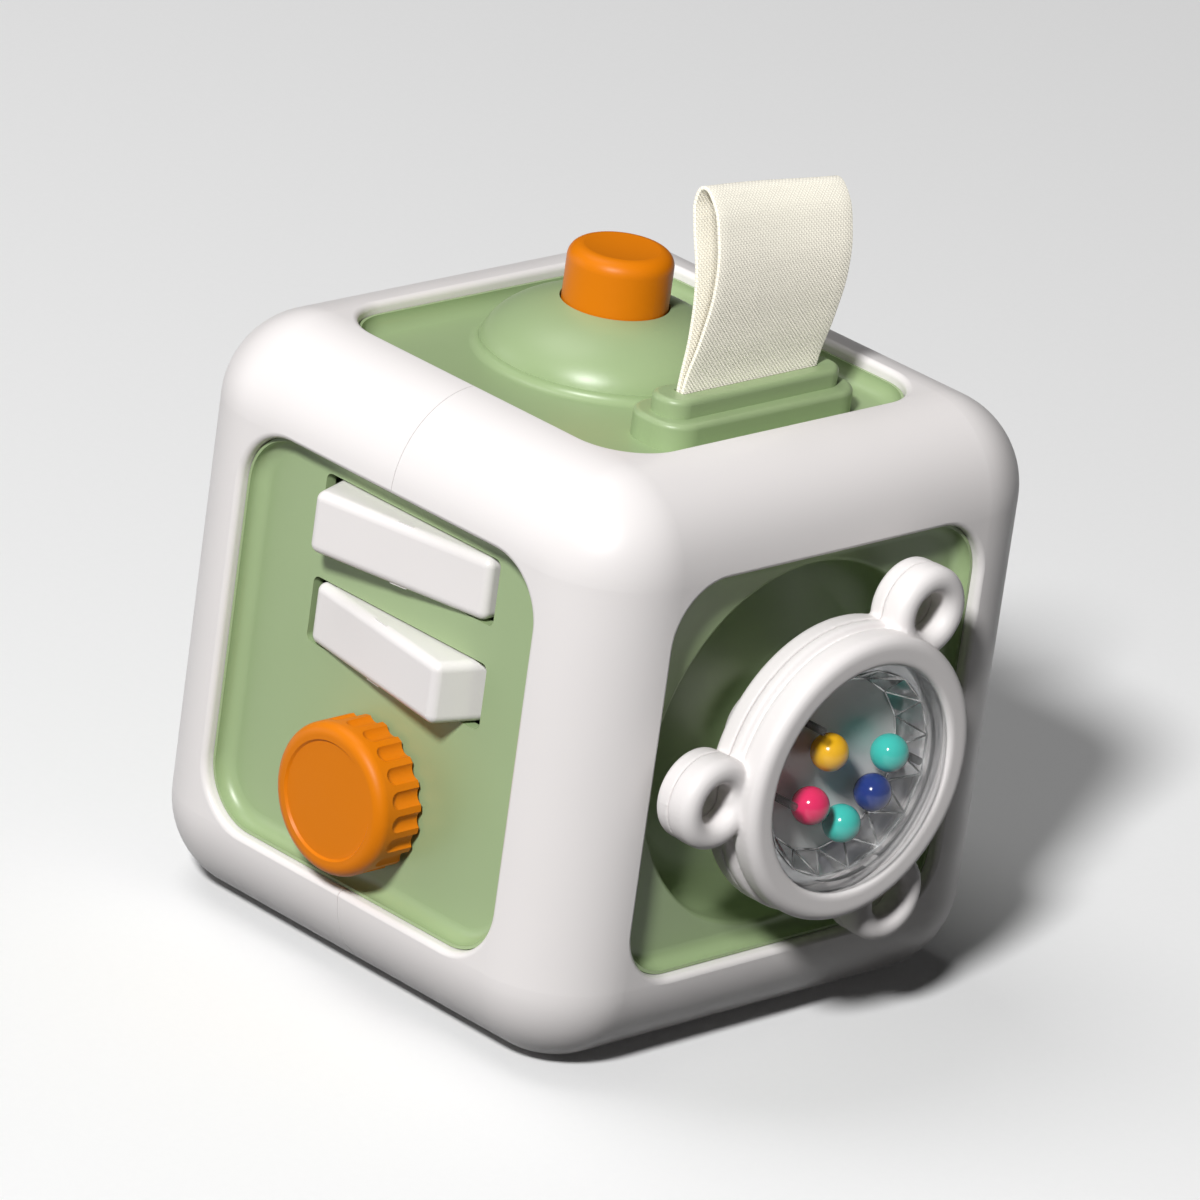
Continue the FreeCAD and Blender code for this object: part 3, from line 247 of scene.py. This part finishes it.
def facet_edges(name, least, power):
    """Edges between clear facets, with painted reflections: each patch is painted dark or bright
    for what the facets bend into view.
    """
    material, nodes, links, shader, coords = start_material(name)
    solid_at_edges(nodes, links, shader, least, power)
    place = coords.outputs["Object"]
    # Painted reflections: a noise paints the ribs dark or bright in patches, standing in for light
    # and dark bent through the facets.
    painted_reflection_patches = spread(nodes, links, noise(nodes, links, place, 260, 1), 0.0, 1.0)
    links.new(tinted(nodes, links, painted_reflection_patches, (0.48, 0.48, 0.48), 0.94),
              shader.inputs["Base Color"])
    shader.inputs["Roughness"].default_value = 0.12
    shader.inputs["Metallic"].default_value = 0.6
    return material


def math_node(nodes, links, operation, first, second=None):
    node = nodes.new("ShaderNodeMath")
    node.operation = operation
    for index, value in enumerate((first, second)):
        if value is None:
            continue
        if isinstance(value, (int, float)):
            node.inputs[index].default_value = value
        else:
            links.new(value, node.inputs[index])
    return node.outputs[0]


def cotton(name, colour, pitch):
    """Plain-woven cotton tape: threads over and under, slubs and a soft sheen; the colour has
    painted shade between the threads and drifts with the slubs.
    """
    material, nodes, links, shader, coords = start_material(name)
    split = nodes.new("ShaderNodeSeparateXYZ")
    links.new(coords.outputs["UV"], split.inputs["Vector"])
    threads = []
    for axis in ("X", "Y"):
        turns = math_node(nodes, links, "MULTIPLY", split.outputs[axis], math.pi / pitch)
        threads.append(math_node(nodes, links, "SINE", turns))
    warp = math_node(nodes, links, "ABSOLUTE", threads[0])
    weft = math_node(nodes, links, "ABSOLUTE", threads[1])
    crossing = math_node(nodes, links, "MULTIPLY", *threads)
    over = math_node(nodes, links, "GREATER_THAN", crossing, 0.0)
    under = math_node(nodes, links, "SUBTRACT", 1.0, over)
    raised = math_node(nodes, links, "MULTIPLY", warp, over)
    lowered = math_node(nodes, links, "MULTIPLY", weft, under)
    weave = math_node(nodes, links, "ADD", raised, lowered)
    stretch = nodes.new("ShaderNodeMapping")
    stretch.inputs["Scale"].default_value = (1, 9, 1)
    links.new(coords.outputs["UV"], stretch.inputs["Vector"])
    slubs = noise(nodes, links, stretch.outputs["Vector"], 180, 3)
    # Painted shade: the weave's height goes into the colour, darker between threads and lighter on
    # their crowns; the slubs are a real drift of tone.
    sum_of_both = math_node(nodes, links, "ADD", weave, slubs)
    weave_shade_and_slub_tone = math_node(nodes, links, "MULTIPLY", sum_of_both, 0.5)
    links.new(tinted(nodes, links, weave_shade_and_slub_tone, colour, 0.11), shader.inputs["Base Color"])
    fuzz = noise(nodes, links, coords.outputs["Object"], 2400, 4)
    soft = bumped(nodes, links, shader, fuzz, 0.5, 0.00008)
    bumped(nodes, links, shader, weave, 0.6, 0.00011, soft)
    shader.inputs["Roughness"].default_value = 0.92
    shader.inputs["Sheen Weight"].default_value = 0.25
    shader.inputs["Sheen Roughness"].default_value = 0.5
    shader.inputs["Specular IOR Level"].default_value = 0.25
    return material


def make_materials(colours, sizes):
    """Every finish of the cube, under the names that the operators use."""
    plastic("shell_white", colours.shell, 0.36)
    plastic("spinner_white", colours.shell, 0.46, shine=0.35)
    plastic("panel_green", colours.panel, 0.38, change=0.05, shine=0.6)
    plastic("accent_orange", colours.accent, 0.42, shine=0.2)
    plastic("inner_plastic", colours.inner, 0.55)
    plastic("disc_grey", colours.disc, 0.30, grain=0.1)
    plastic("bead_yellow_gloss", (0.90, 0.48, 0.012), 0.14, grain=0.05)
    plastic("bead_pink_gloss", (0.84, 0.022, 0.13), 0.14, grain=0.05)
    plastic("bead_teal_gloss", (0.045, 0.58, 0.50), 0.14, grain=0.05)
    plastic("bead_blue_gloss", (0.004, 0.03, 0.22), 0.14, grain=0.05)
    steel("steel_screw", 0.62)
    steel("steel_spring", 0.5)
    clear("window_clear", 0.012, 5.2, 0.04)
    clear("cup_clear", 0.16, 2.2, 0.08)
    facet_edges("rib_clear", 0.62, 1.6)
    # Clear posts, painted dark grey as shade.
    clear_painted_dark("post_smoked", (0.055, 0.05, 0.05), 0.35, 1.6)
    cotton("tape_cotton", colours.tape, sizes.thread_pitch)


# ---------------------------------------------------------------- mesh tools

def finish_piece(name, bm, material, body, replaced=(), smooth=SMOOTH_ANGLE):
    """Turn a bmesh into a piece that rides on a body, if one is given."""
    bmesh.ops.remove_doubles(bm, verts=bm.verts, dist=MERGE)
    bmesh.ops.recalc_face_normals(bm, faces=bm.faces)
    mesh = bpy.data.meshes.new(name)
    bm.to_mesh(mesh)
    bm.free()
    mesh.shade_smooth()
    mesh.set_sharp_from_angle(angle=smooth)
    mesh.materials.append(bpy.data.materials[material])
    piece = bpy.data.objects.new(name, mesh)
    bpy.context.scene.collection.objects.link(piece)
    if body:
        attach(piece, body)
    if replaced:
        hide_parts(*replaced)
    return piece


def paint(node, material):
    """Give a CAD node its finish."""
    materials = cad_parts[node].data.materials
    materials.clear()
    materials.append(bpy.data.materials[material])


def outline(bm, points, rounds=()):
    """Open outline of (r, h) points in the XZ plane; rounds are (point index, radius)."""
    verts = [bm.verts.new((r * MM, 0, h * MM)) for r, h in points]
    for first, second in zip(verts, verts[1:]):
        bm.edges.new((first, second))
    for index, radius in rounds:
        bmesh.ops.bevel(bm, geom=[verts[index]], offset=radius * MM, offset_type="OFFSET",
                        affect="VERTICES", segments=8, profile=0.5, material=-1)


def lathe(points, rounds=(), steps=None):
    """Piece turned about local Z from an outline in millimetres."""
    bm = bmesh.new()
    outline(bm, points, rounds)
    steps = steps or bpy.context.scene.cube_sizes.lathe_steps
    bmesh.ops.spin(bm, geom=bm.verts[:] + bm.edges[:], cent=(0, 0, 0), axis=(0, 0, 1),
                   angle=2 * math.pi, steps=steps, use_merge=True)
    bmesh.ops.remove_doubles(bm, verts=bm.verts, dist=MERGE)
    return bm


def face_right(bm):
    """Turn local X, Y, Z into Y, Z, X about the spinner's axis, from the cube's middle."""
    turn = Matrix(((0, 0, 1), (1, 0, 0), (0, 1, 0))).to_4x4()
    bmesh.ops.transform(bm, matrix=Matrix.Translation(CUBE) @ turn, verts=bm.verts)
    return bm


def join(target, other):
    """Add one bmesh to another."""
    mesh = bpy.data.meshes.new("joined")
    other.to_mesh(mesh)
    other.free()
    target.from_mesh(mesh)
    bpy.data.meshes.remove(mesh)
    return target


def row_values(bm, first_row):
    """Value of every vertex, from those of the row that was drawn out across Y."""
    bm.verts.index_update()
    table = dict(enumerate(first_row))
    waiting = [vert for vert in bm.verts if vert.index in table]
    while waiting:
        vert = waiting.pop()
        for edge in vert.link_edges:
            other = edge.other_vert(vert)
            straight = abs((other.co - vert.co).y) > 1e-6
            if straight and other.index not in table:
                table[other.index] = table[vert.index]
                waiting.append(other)
    return table


def blended(name, bm, voxel, relax):
    """Melt overlapping closed shapes into one skin with soft inner corners."""
    mesh = bpy.data.meshes.new(name)
    bmesh.ops.recalc_face_normals(bm, faces=bm.faces)
    bm.to_mesh(mesh)
    bm.free()
    work = bpy.data.objects.new(name, mesh)
    bpy.context.scene.collection.objects.link(work)
    remesh = work.modifiers.new("Melt", "REMESH")
    remesh.mode = "VOXEL"
    remesh.voxel_size = voxel
    remesh.adaptivity = 0.0
    smooth = work.modifiers.new("Relax", "SMOOTH")
    smooth.factor = 0.5
    smooth.iterations = relax
    graph = bpy.context.evaluated_depsgraph_get()
    result = bmesh.new()
    result.from_object(work, graph)
    bpy.data.objects.remove(work)
    bpy.data.meshes.remove(mesh)
    return result


# ---------------------------------------------------------------- operators

class CUBE_OT_stage(bpy.types.Operator):
    """Floor, soft studio light and camera"""

    bl_idname = "cube.stage"
    bl_label = "Stage"

    AZIMUTH = math.radians(43.55)
    ELEVATION = math.radians(21.72)
    ROLL = math.radians(7.99)
    DISTANCE = 1.58665
    LENS = 301.77
    SIDE_STEP = 0.00118
    UP_STEP = 0.00632
    KEY_FROM = Vector((0.345, -0.69, 0.635))
    KEY_AT, KEY_SIZE = 3.0, 0.42
    FILL_FROM = Vector((-0.80, -0.58, 0.12))
    FILL_AT, FILL_SIZE = 2.5, 1.6
    TOP_FROM = Vector((-0.35, -0.15, 0.92))
    TOP_AT, TOP_SIZE = 2.5, 1.4

    def execute(self, context):
        self.floor()
        self.sky(context)
        lights = context.scene.cube_lights
        self.softbox("key_light", self.KEY_FROM, self.KEY_AT, self.KEY_SIZE, lights.key_power)
        self.softbox("fill_light", self.FILL_FROM, self.FILL_AT, self.FILL_SIZE, lights.fill_power)
        self.softbox("top_light", self.TOP_FROM, self.TOP_AT, self.TOP_SIZE, lights.top_power)
        self.camera(context)
        context.scene.view_settings.view_transform = "Standard"
        return {"FINISHED"}

    def floor(self):
        bm = bmesh.new()
        bmesh.ops.create_grid(bm, x_segments=8, y_segments=8, size=6.0)
        mesh = bpy.data.meshes.new("floor")
        bm.to_mesh(mesh)
        bm.free()
        floor = bpy.data.objects.new("floor", mesh)
        bpy.context.scene.collection.objects.link(floor)
        material, nodes, links, shader, coords = start_material("floor_paper")
        grain = noise(nodes, links, coords.outputs["Object"], 700, 3)
        links.new(tinted(nodes, links, grain, (0.93, 0.93, 0.93), 0.01),
                  shader.inputs["Base Color"])
        bumped(nodes, links, shader, grain, 0.1, 0.00005)
        shader.inputs["Roughness"].default_value = 0.9
        mesh.materials.append(material)
        floor.visible_diffuse = False

    def sky(self, context):
        world = bpy.data.worlds.new("studio")
        world.use_nodes = True
        background = world.node_tree.nodes["Background"]
        background.inputs["Color"].default_value = (1, 1, 1, 1)
        background.inputs["Strength"].default_value = context.scene.cube_lights.sky
        context.scene.world = world

    @staticmethod
    def softbox(name, direction, distance, size, power):
        light = bpy.data.lights.new(name, "AREA")
        light.shape = "DISK"
        light.size = size
        light.energy = power
        lamp = bpy.data.objects.new(name, light)
        direction = direction.normalized()
        lamp.location = CUBE + direction * distance
        lamp.rotation_mode = "QUATERNION"
        lamp.rotation_quaternion = direction.to_track_quat("Z", "Y")
        bpy.context.scene.collection.objects.link(lamp)
        return lamp

    def camera(self, context):
        a, e = self.AZIMUTH, self.ELEVATION
        back = Vector((math.sin(a) * math.cos(e), -math.cos(a) * math.cos(e), math.sin(e)))
        level = Vector((math.cos(a), math.sin(a), 0))
        upright = back.cross(level)
        right = level * math.cos(self.ROLL) + upright * math.sin(self.ROLL)
        up = upright * math.cos(self.ROLL) - level * math.sin(self.ROLL)
        data = bpy.data.cameras.new("camera")
        data.lens = self.LENS
        data.sensor_width = 36.0
        data.clip_start = 0.05
        data.clip_end = 20.0
        camera = bpy.data.objects.new("camera", data)
        place = CUBE + back * self.DISTANCE + right * self.SIDE_STEP + up * self.UP_STEP
        turn = Matrix((right, up, back)).transposed().to_4x4()
        camera.matrix_world = Matrix.Translation(place) @ turn
        context.scene.collection.objects.link(camera)
        context.scene.camera = camera


class CUBE_OT_shells(bpy.types.Operator):
    """White half shells and base panel"""

    bl_idname = "cube.shells"
    bl_label = "Shells"

    def execute(self, context):
        for node in ("frame_left", "frame_right", "base_panel"):
            paint(node, "shell_white")
        return {"FINISHED"}


class CUBE_OT_panels(bpy.types.Operator):
    """Green trays in the windows"""

    bl_idname = "cube.panels"
    bl_label = "Panels"

    def execute(self, context):
        for side in ("top", "front", "right", "back", "left"):
            paint(side + "_panel", "panel_green")
        return {"FINISHED"}


class CUBE_OT_button(bpy.types.Operator):
    """Push button on the dome"""

    bl_idname = "cube.button"
    bl_label = "Button"

    TURNS = 5
    STEPS_A_TURN = 40
    WIRE = 0.9
    COIL_RADIUS = 6.05

    def execute(self, context):
        paint("push_button", "accent_orange")
        self.spring()
        return {"FINISHED"}

    def spring(self):
        """Square-wire spring from the bottom to the top of the CAD spring."""
        low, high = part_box("button_spring")
        half = self.WIRE / 2 * MM
        axis = Vector(((low.x + high.x) / 2, (low.y + high.y) / 2, 0))
        bottom, top = low.z + half, high.z - half
        bm = bmesh.new()
        start = axis + Vector((self.COIL_RADIUS * MM, 0, bottom))
        verts = [bm.verts.new(start + Vector((x * half, 0, z * half)))
                 for x, z in ((-1, -1), (1, -1), (1, 1), (-1, 1))]
        first = bm.faces.new(verts)
        steps = self.TURNS * self.STEPS_A_TURN
        bmesh.ops.spin(bm, geom=[first], cent=axis, axis=(0, 0, 1),
                       dvec=(0, 0, (top - bottom) / steps),
                       angle=2 * math.pi * self.TURNS, steps=steps)
        spring = finish_piece("button_coil", bm, "steel_spring", None,
                              ("button_spring",))
        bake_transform(spring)


class CUBE_OT_ribbon(bpy.types.Operator):
    """Woven cotton ribbon loop"""

    bl_idname = "cube.ribbon"
    bl_label = "Ribbon"

    AXIS_X = 21.8
    NEAR_Y = -11.4
    MOUTH_Z = 101.1
    TAIL_Z = 87.9
    PLY_X = 0.47
    LOOP = ((-0.47, 101.1), (0.35, 110.9), (-0.1, 120.6), (-2.1, 128.6), (-2.5, 132.1),
            (-1.2, 134.2), (1.2, 132.8), (3.6, 127.3), (4.3, 120.0), (2.8, 110.9), (0.47, 101.1))
    LOOP_RISE = 33.6
    TAIL_TOP = 5.0
    WAVER_X, WAVER_Y = 0.35, 0.25
    STEPS = 14
    EDGE_ROUND = 0.2
    LIGHT_FROM = Vector((0.72, -0.62, 0.30))
    LIGHT_AT, LIGHT_SIZE = 2.6, 0.5

    def execute(self, context):
        sizes = context.scene.cube_sizes
        bm, along = self.strip(sizes)
        self.lay_uvs(bm, along)
        self.settle(bm, sizes)
        tape = finish_piece("ribbon_tape", bm, "tape_cotton", "body",
                            ("ribbon_loop",), math.radians(180))
        wall = tape.modifiers.new("Thickness", "SOLIDIFY")
        wall.thickness = sizes.tape_thickness
        wall.offset = 0.0
        edge = tape.modifiers.new("Selvedge", "BEVEL")
        edge.width = sizes.tape_thickness * self.EDGE_ROUND
        edge.segments = 3
        edge.limit_method = "ANGLE"
        edge.angle_limit = math.radians(50)
        lamp = CUBE_OT_stage.softbox("tape_light", self.LIGHT_FROM, self.LIGHT_AT, self.LIGHT_SIZE,
                                     context.scene.cube_lights.tape_power)
        lit = bpy.data.collections.new("tape_light_receivers")
        lit.objects.link(tape)
        lamp.light_linking.receiver_collection = lit
        return {"FINISHED"}

    def path(self):
        """Smooth line of the tape from one tail round the loop to the other."""
        tails = ((-self.PLY_X, self.TAIL_Z), (-self.PLY_X, self.MOUTH_Z - self.TAIL_TOP))
        points = tails + self.LOOP + tuple((-x, z) for x, z in reversed(tails))
        curve = bpy.data.curves.new("tape_path", "CURVE")
        curve.dimensions = "3D"
        curve.resolution_u = 6
        spline = curve.splines.new("BEZIER")
        spline.bezier_points.add(len(points) - 1)
        for knot, (x, z) in zip(spline.bezier_points, points):
            knot.co = ((self.AXIS_X + x) * MM, self.NEAR_Y * MM, z * MM)
            knot.handle_left_type = "AUTO"
            knot.handle_right_type = "AUTO"
        holder = bpy.data.objects.new("tape_path", curve)
        bpy.context.scene.collection.objects.link(holder)
        graph = bpy.context.evaluated_depsgraph_get()
        mesh = bpy.data.meshes.new_from_object(holder.evaluated_get(graph))
        bpy.data.objects.remove(holder)
        bpy.data.curves.remove(curve)
        return mesh

    def strip(self, sizes):
        """The path drawn out across the tape's width, and how far along it each point lies."""
        mesh = self.path()
        bm = bmesh.new()
        bm.from_mesh(mesh)
        bpy.data.meshes.remove(mesh)
        bm.verts.ensure_lookup_table()
        along = [0.0]
        for before, vert in zip(bm.verts[:-1], bm.verts[1:]):
            along.append(along[-1] + (vert.co - before.co).length)
        edges = bm.edges[:]
        for step in range(self.STEPS):
            made = bmesh.ops.extrude_edge_only(bm, edges=edges)["geom"]
            edges = [item for item in made if isinstance(item, bmesh.types.BMEdge)
                     and all(vert in made for vert in item.verts)]
            verts = [item for item in made if isinstance(item, bmesh.types.BMVert)]
            bmesh.ops.translate(bm, vec=(0, sizes.tape_width / self.STEPS, 0), verts=verts)
        return bm, along

    @staticmethod
    def lay_uvs(bm, along):
        """UVs in metres: across the tape, and along its path."""
        layer = bm.loops.layers.uv.new("Weave")
        table = row_values(bm, along)
        for face in bm.faces:
            for loop in face.loops:
                loop[layer].uv = (loop.vert.co.y, table[loop.vert.index])

    def settle(self, bm, sizes):
        """Lower the loop's far edge, and give the cloth a slight waver."""
        near = self.NEAR_Y * MM
        mouth = self.MOUTH_Z * MM
        for vert in bm.verts:
            share = max(0.0, (vert.co.z - mouth) / (self.LOOP_RISE * MM))
            across = (vert.co.y - near) / sizes.tape_width
            vert.co.z -= sizes.tape_slope * across * share
            vert.co.x += self.WAVER_X * MM * share * math.sin(5.0 * across + 3.0 * share)
            vert.co.y += self.WAVER_Y * MM * share * math.sin(6.0 * share + 1.0)


class CUBE_OT_keys(bpy.types.Operator):
    """See-saw keys"""

    bl_idname = "cube.keys"
    bl_label = "Keys"

    def execute(self, context):
        for node in ("key_upper", "key_lower"):
            paint(node, "shell_white")
        return {"FINISHED"}


class CUBE_OT_knob(bpy.types.Operator):
    """Fluted knob"""

    bl_idname = "cube.knob"
    bl_label = "Knob"

    def execute(self, context):
        paint("knob", "accent_orange")
        return {"FINISHED"}


class CUBE_OT_spinner(bpy.types.Operator):
    """White spinner halves with their ears"""

    bl_idname = "cube.spinner"
    bl_label = "Spinner"

    EAR_AT = 27.7
    EAR_TURNS = (180, 300, 420)
    EAR_STEPS = 48
    WEB_AT = 22.9
    WEB_LENGTH = 3.4
    WEB_WIDTH = 8.4
    RELAX = 3

    def execute(self, context):
        halves = (("front", self.front_shapes()), ("rear", self.rear_shapes()))
        for side, shapes in halves:
            skin = blended(side + "_work", shapes, context.scene.cube_sizes.voxel, self.RELAX)
            finish_piece(f"spinner_{side}_shell", face_right(skin), "spinner_white", "spinner",
                         ("spinner_" + side,), SHELL_SMOOTH)
        return {"FINISHED"}

    def ears(self, bm, points, rounds):
        """Three turned ear rings, added to a bmesh."""
        for degrees in self.EAR_TURNS:
            ear = lathe(points, rounds, self.EAR_STEPS)
            turn = Matrix.Rotation(math.radians(degrees), 4, "Z")
            move = turn @ Matrix.Translation((self.EAR_AT * MM, 0, 0))
            bmesh.ops.transform(ear, matrix=move, verts=ear.verts)
            join(bm, ear)

    def webs(self, bm, low, high):
        """Short bridges between the ring and the ears."""
        size = Vector((self.WEB_LENGTH, self.WEB_WIDTH, high - low)) * MM
        for degrees in self.EAR_TURNS:
            web = bmesh.new()
            bmesh.ops.create_cube(web, size=1.0)
            bmesh.ops.scale(web, vec=size, verts=web.verts)
            turn = Matrix.Rotation(math.radians(degrees), 4, "Z")
            move = turn @ Matrix.Translation((self.WEB_AT * MM, 0, (high + low) / 2 * MM))
            bmesh.ops.transform(web, matrix=move, verts=web.verts)
            join(bm, web)

    def front_shapes(self):
        """Ring with its lip and step, and the front of the ears."""
        ring = lathe([(20.7, 53.9), (24.0, 53.9), (24.0, 55.5), (22.7, 56.1), (23.6, 56.6),
                      (23.6, 61.2), (18.9, 61.1), (18.9, 59.5), (20.7, 59.5), (20.7, 53.9)],
                     [(2, 0.5), (4, 0.4), (5, 1.9), (6, 0.8)])
        self.ears(ring, [(3.3, 53.9), (7.5, 53.9), (7.5, 58.4), (3.3, 58.4), (3.3, 53.9)],
                  [(2, 2.05), (3, 2.0)])
        self.webs(ring, 53.9, 56.9)
        return ring

    def rear_shapes(self):
        """Flange and bored spindle, and the back of the ears."""
        ring = lathe([(2.6, 36.6), (7.0, 36.6), (7.0, 50.6), (24.0, 50.6), (24.0, 53.75),
                       (20.7, 53.75), (20.7, 52.5), (5.4, 52.5), (5.4, 49.1), (2.6, 49.1),
                       (2.6, 36.6)],
                     [(1, 1.0), (3, 1.0)])
        self.ears(ring, [(3.4, 50.9), (7.4, 50.9), (7.4, 53.75), (3.4, 53.75), (3.4, 50.9)],
                  [(1, 1.0)])
        self.webs(ring, 50.9, 53.75)
        return ring


class CUBE_OT_rattle(bpy.types.Operator):
    """Clear window, facet cup, backing disc and beads"""

    bl_idname = "cube.rattle"
    bl_label = "Rattle"

    SIDES = 16
    CUP_LOW = (14.4, 53.62)
    CUP_HIGH = (17.0, 57.85)
    CUP_OUT = 20.4
    RIB = 0.34
    POST_AT = 13.5
    POST_RADIUS = 0.62
    POST_ANGLES = (1.0, 134.0, 189.0)
    POST_SPAN = (53.6, 60.0)

    def execute(self, context):
        paint("backing_disc", "disc_grey")
        self.window()
        self.cup()
        self.posts()
        finishes = {"bead_yellow": "yellow", "bead_pink": "pink", "bead_blue": "blue",
                    "bead_teal_low": "teal", "bead_teal_side": "teal"}
        for node, colour in finishes.items():
            self.bead(node, colour)
        return {"FINISHED"}

    def window(self):
        """Domed window, its flange behind the ring's lip."""
        bm = lathe([(0.0, 63.6), (5.0, 63.3), (10.0, 62.35), (14.0, 61.05), (17.35, 59.4),
                    (17.35, 58.45), (20.5, 58.45), (20.5, 59.45), (18.75, 59.45), (18.75, 60.4),
                    (15.0, 62.2), (10.5, 63.75), (5.5, 64.7), (0.0, 65.0)])
        finish_piece("spinner_dome", face_right(bm), "window_clear", "spinner",
                     ("spinner_window",), math.radians(50))

    def facets(self):
        """Band of triangles between two rings of corners."""
        bm = bmesh.new()
        for radius, level, turn in ((*self.CUP_LOW, 0.0), (*self.CUP_HIGH, 0.5)):
            ring = bmesh.ops.create_circle(bm, segments=self.SIDES, radius=radius * MM)["verts"]
            angle = 2 * math.pi / self.SIDES * turn
            place = Matrix.Translation((0, 0, level * MM)) @ Matrix.Rotation(angle, 4, "Z")
            bmesh.ops.transform(bm, matrix=place, verts=ring)
        bmesh.ops.bridge_loops(bm, edges=bm.edges[:])
        bmesh.ops.triangulate(bm, faces=bm.faces[:])
        return bm

    def cup(self):
        """Faceted wall of clear plastic, with ribs between its facets painted with dark and bright
        reflections.
        """
        cup = self.facets()
        low, high, out = self.CUP_LOW[1], self.CUP_HIGH[1], self.CUP_OUT
        join(cup, lathe([(self.CUP_LOW[0], low), (out, low), (out, high), (self.CUP_HIGH[0], high)],
                        (), self.SIDES * 4))
        finish_piece("facet_cup_wall", face_right(cup), "cup_clear", "spinner",
                     ("facet_cup",), math.radians(5))
        ribs = self.facets()
        bmesh.ops.recalc_face_normals(ribs, faces=ribs.faces)
        bmesh.ops.wireframe(ribs, faces=ribs.faces[:], thickness=self.RIB * MM, offset=0.0,
                            use_replace=True, use_boundary=True, use_even_offset=True)
        # The ribs carry painted reflections, dark and bright in patches.
        finish_piece("facet_cup_ribs", face_right(ribs), "rib_clear", "spinner")

    def posts(self):
        """Three posts that stand out of the cup towards the window."""
        posts = bmesh.new()
        low, high = self.POST_SPAN
        for degrees in self.POST_ANGLES:
            turn = Matrix.Rotation(math.radians(degrees), 3, "Z")
            middle = turn @ Vector((self.POST_AT, 0, (low + high) / 2))
            bmesh.ops.create_cone(posts, cap_ends=True, segments=24, radius1=self.POST_RADIUS * MM,
                                  radius2=self.POST_RADIUS * MM, depth=(high - low) * MM,
                                  matrix=Matrix.Translation(middle * MM))
        # The posts are clear plastic with painted shade in their dark grey colour.
        finish_piece("facet_cup_posts", face_right(posts), "post_smoked", "spinner")

    @staticmethod
    def bead(node, colour):
        """Ball the size of its CAD bead."""
        low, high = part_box(node)
        bm = bmesh.new()
        bmesh.ops.create_uvsphere(bm, u_segments=40, v_segments=24, radius=(high.x - low.x) / 2)
        bmesh.ops.translate(bm, vec=(low + high) / 2, verts=bm.verts)
        finish_piece(node + "_ball", bm, f"bead_{colour}_gloss", "beads",
                     (node,))


class CUBE_OT_hardware(bpy.types.Operator):
    """Screws, springs and the other inner parts"""

    bl_idname = "cube.hardware"
    bl_label = "Hardware"

    def execute(self, context):
        for node in ("base_screws", "guide_screws", "knob_screw", "key_pin", "spinner_axle"):
            paint(node, "steel_screw")
        paint("click_spring", "steel_spring")
        for node in ("button_guide", "click_wheel", "ribbon_bar"):
            paint(node, "inner_plastic")
        return {"FINISHED"}


OPERATORS = (
    CUBE_OT_stage, CUBE_OT_shells, CUBE_OT_panels, CUBE_OT_button, CUBE_OT_ribbon,
    CUBE_OT_keys, CUBE_OT_knob, CUBE_OT_spinner, CUBE_OT_rattle, CUBE_OT_hardware,
)


class CUBE_PT_panel(bpy.types.Panel):
    """Sidebar panel that lists the cube's operators"""

    bl_label = "Activity Cube"
    bl_idname = "CUBE_PT_panel"
    bl_space_type = "VIEW_3D"
    bl_region_type = "UI"
    bl_category = "Activity Cube"

    def draw(self, context):
        for attribute, kind in GROUPS:
            group = getattr(context.scene, attribute)
            for name in kind.__annotations__:
                self.layout.prop(group, name)
        for operator in OPERATORS:
            self.layout.operator(operator.bl_idname)


GROUPS = (("cube_sizes", CubeSizes), ("cube_colours", CubeColours), ("cube_lights", CubeLights))


def register():
    for name, group in GROUPS:
        bpy.utils.register_class(group)
        setattr(bpy.types.Scene, name, PointerProperty(type=group))
    for operator in OPERATORS:
        bpy.utils.register_class(operator)
    bpy.utils.register_class(CUBE_PT_panel)


def unregister():
    bpy.utils.unregister_class(CUBE_PT_panel)
    for operator in reversed(OPERATORS):
        bpy.utils.unregister_class(operator)
    for name, group in reversed(GROUPS):
        delattr(bpy.types.Scene, name)
        bpy.utils.unregister_class(group)


def main():
    register()
    scene = bpy.context.scene
    make_materials(scene.cube_colours, scene.cube_sizes)
    for operator in OPERATORS:
        area, name = operator.bl_idname.split(".")
        getattr(getattr(bpy.ops, area), name)()


if __name__ == "__main__":
    main()
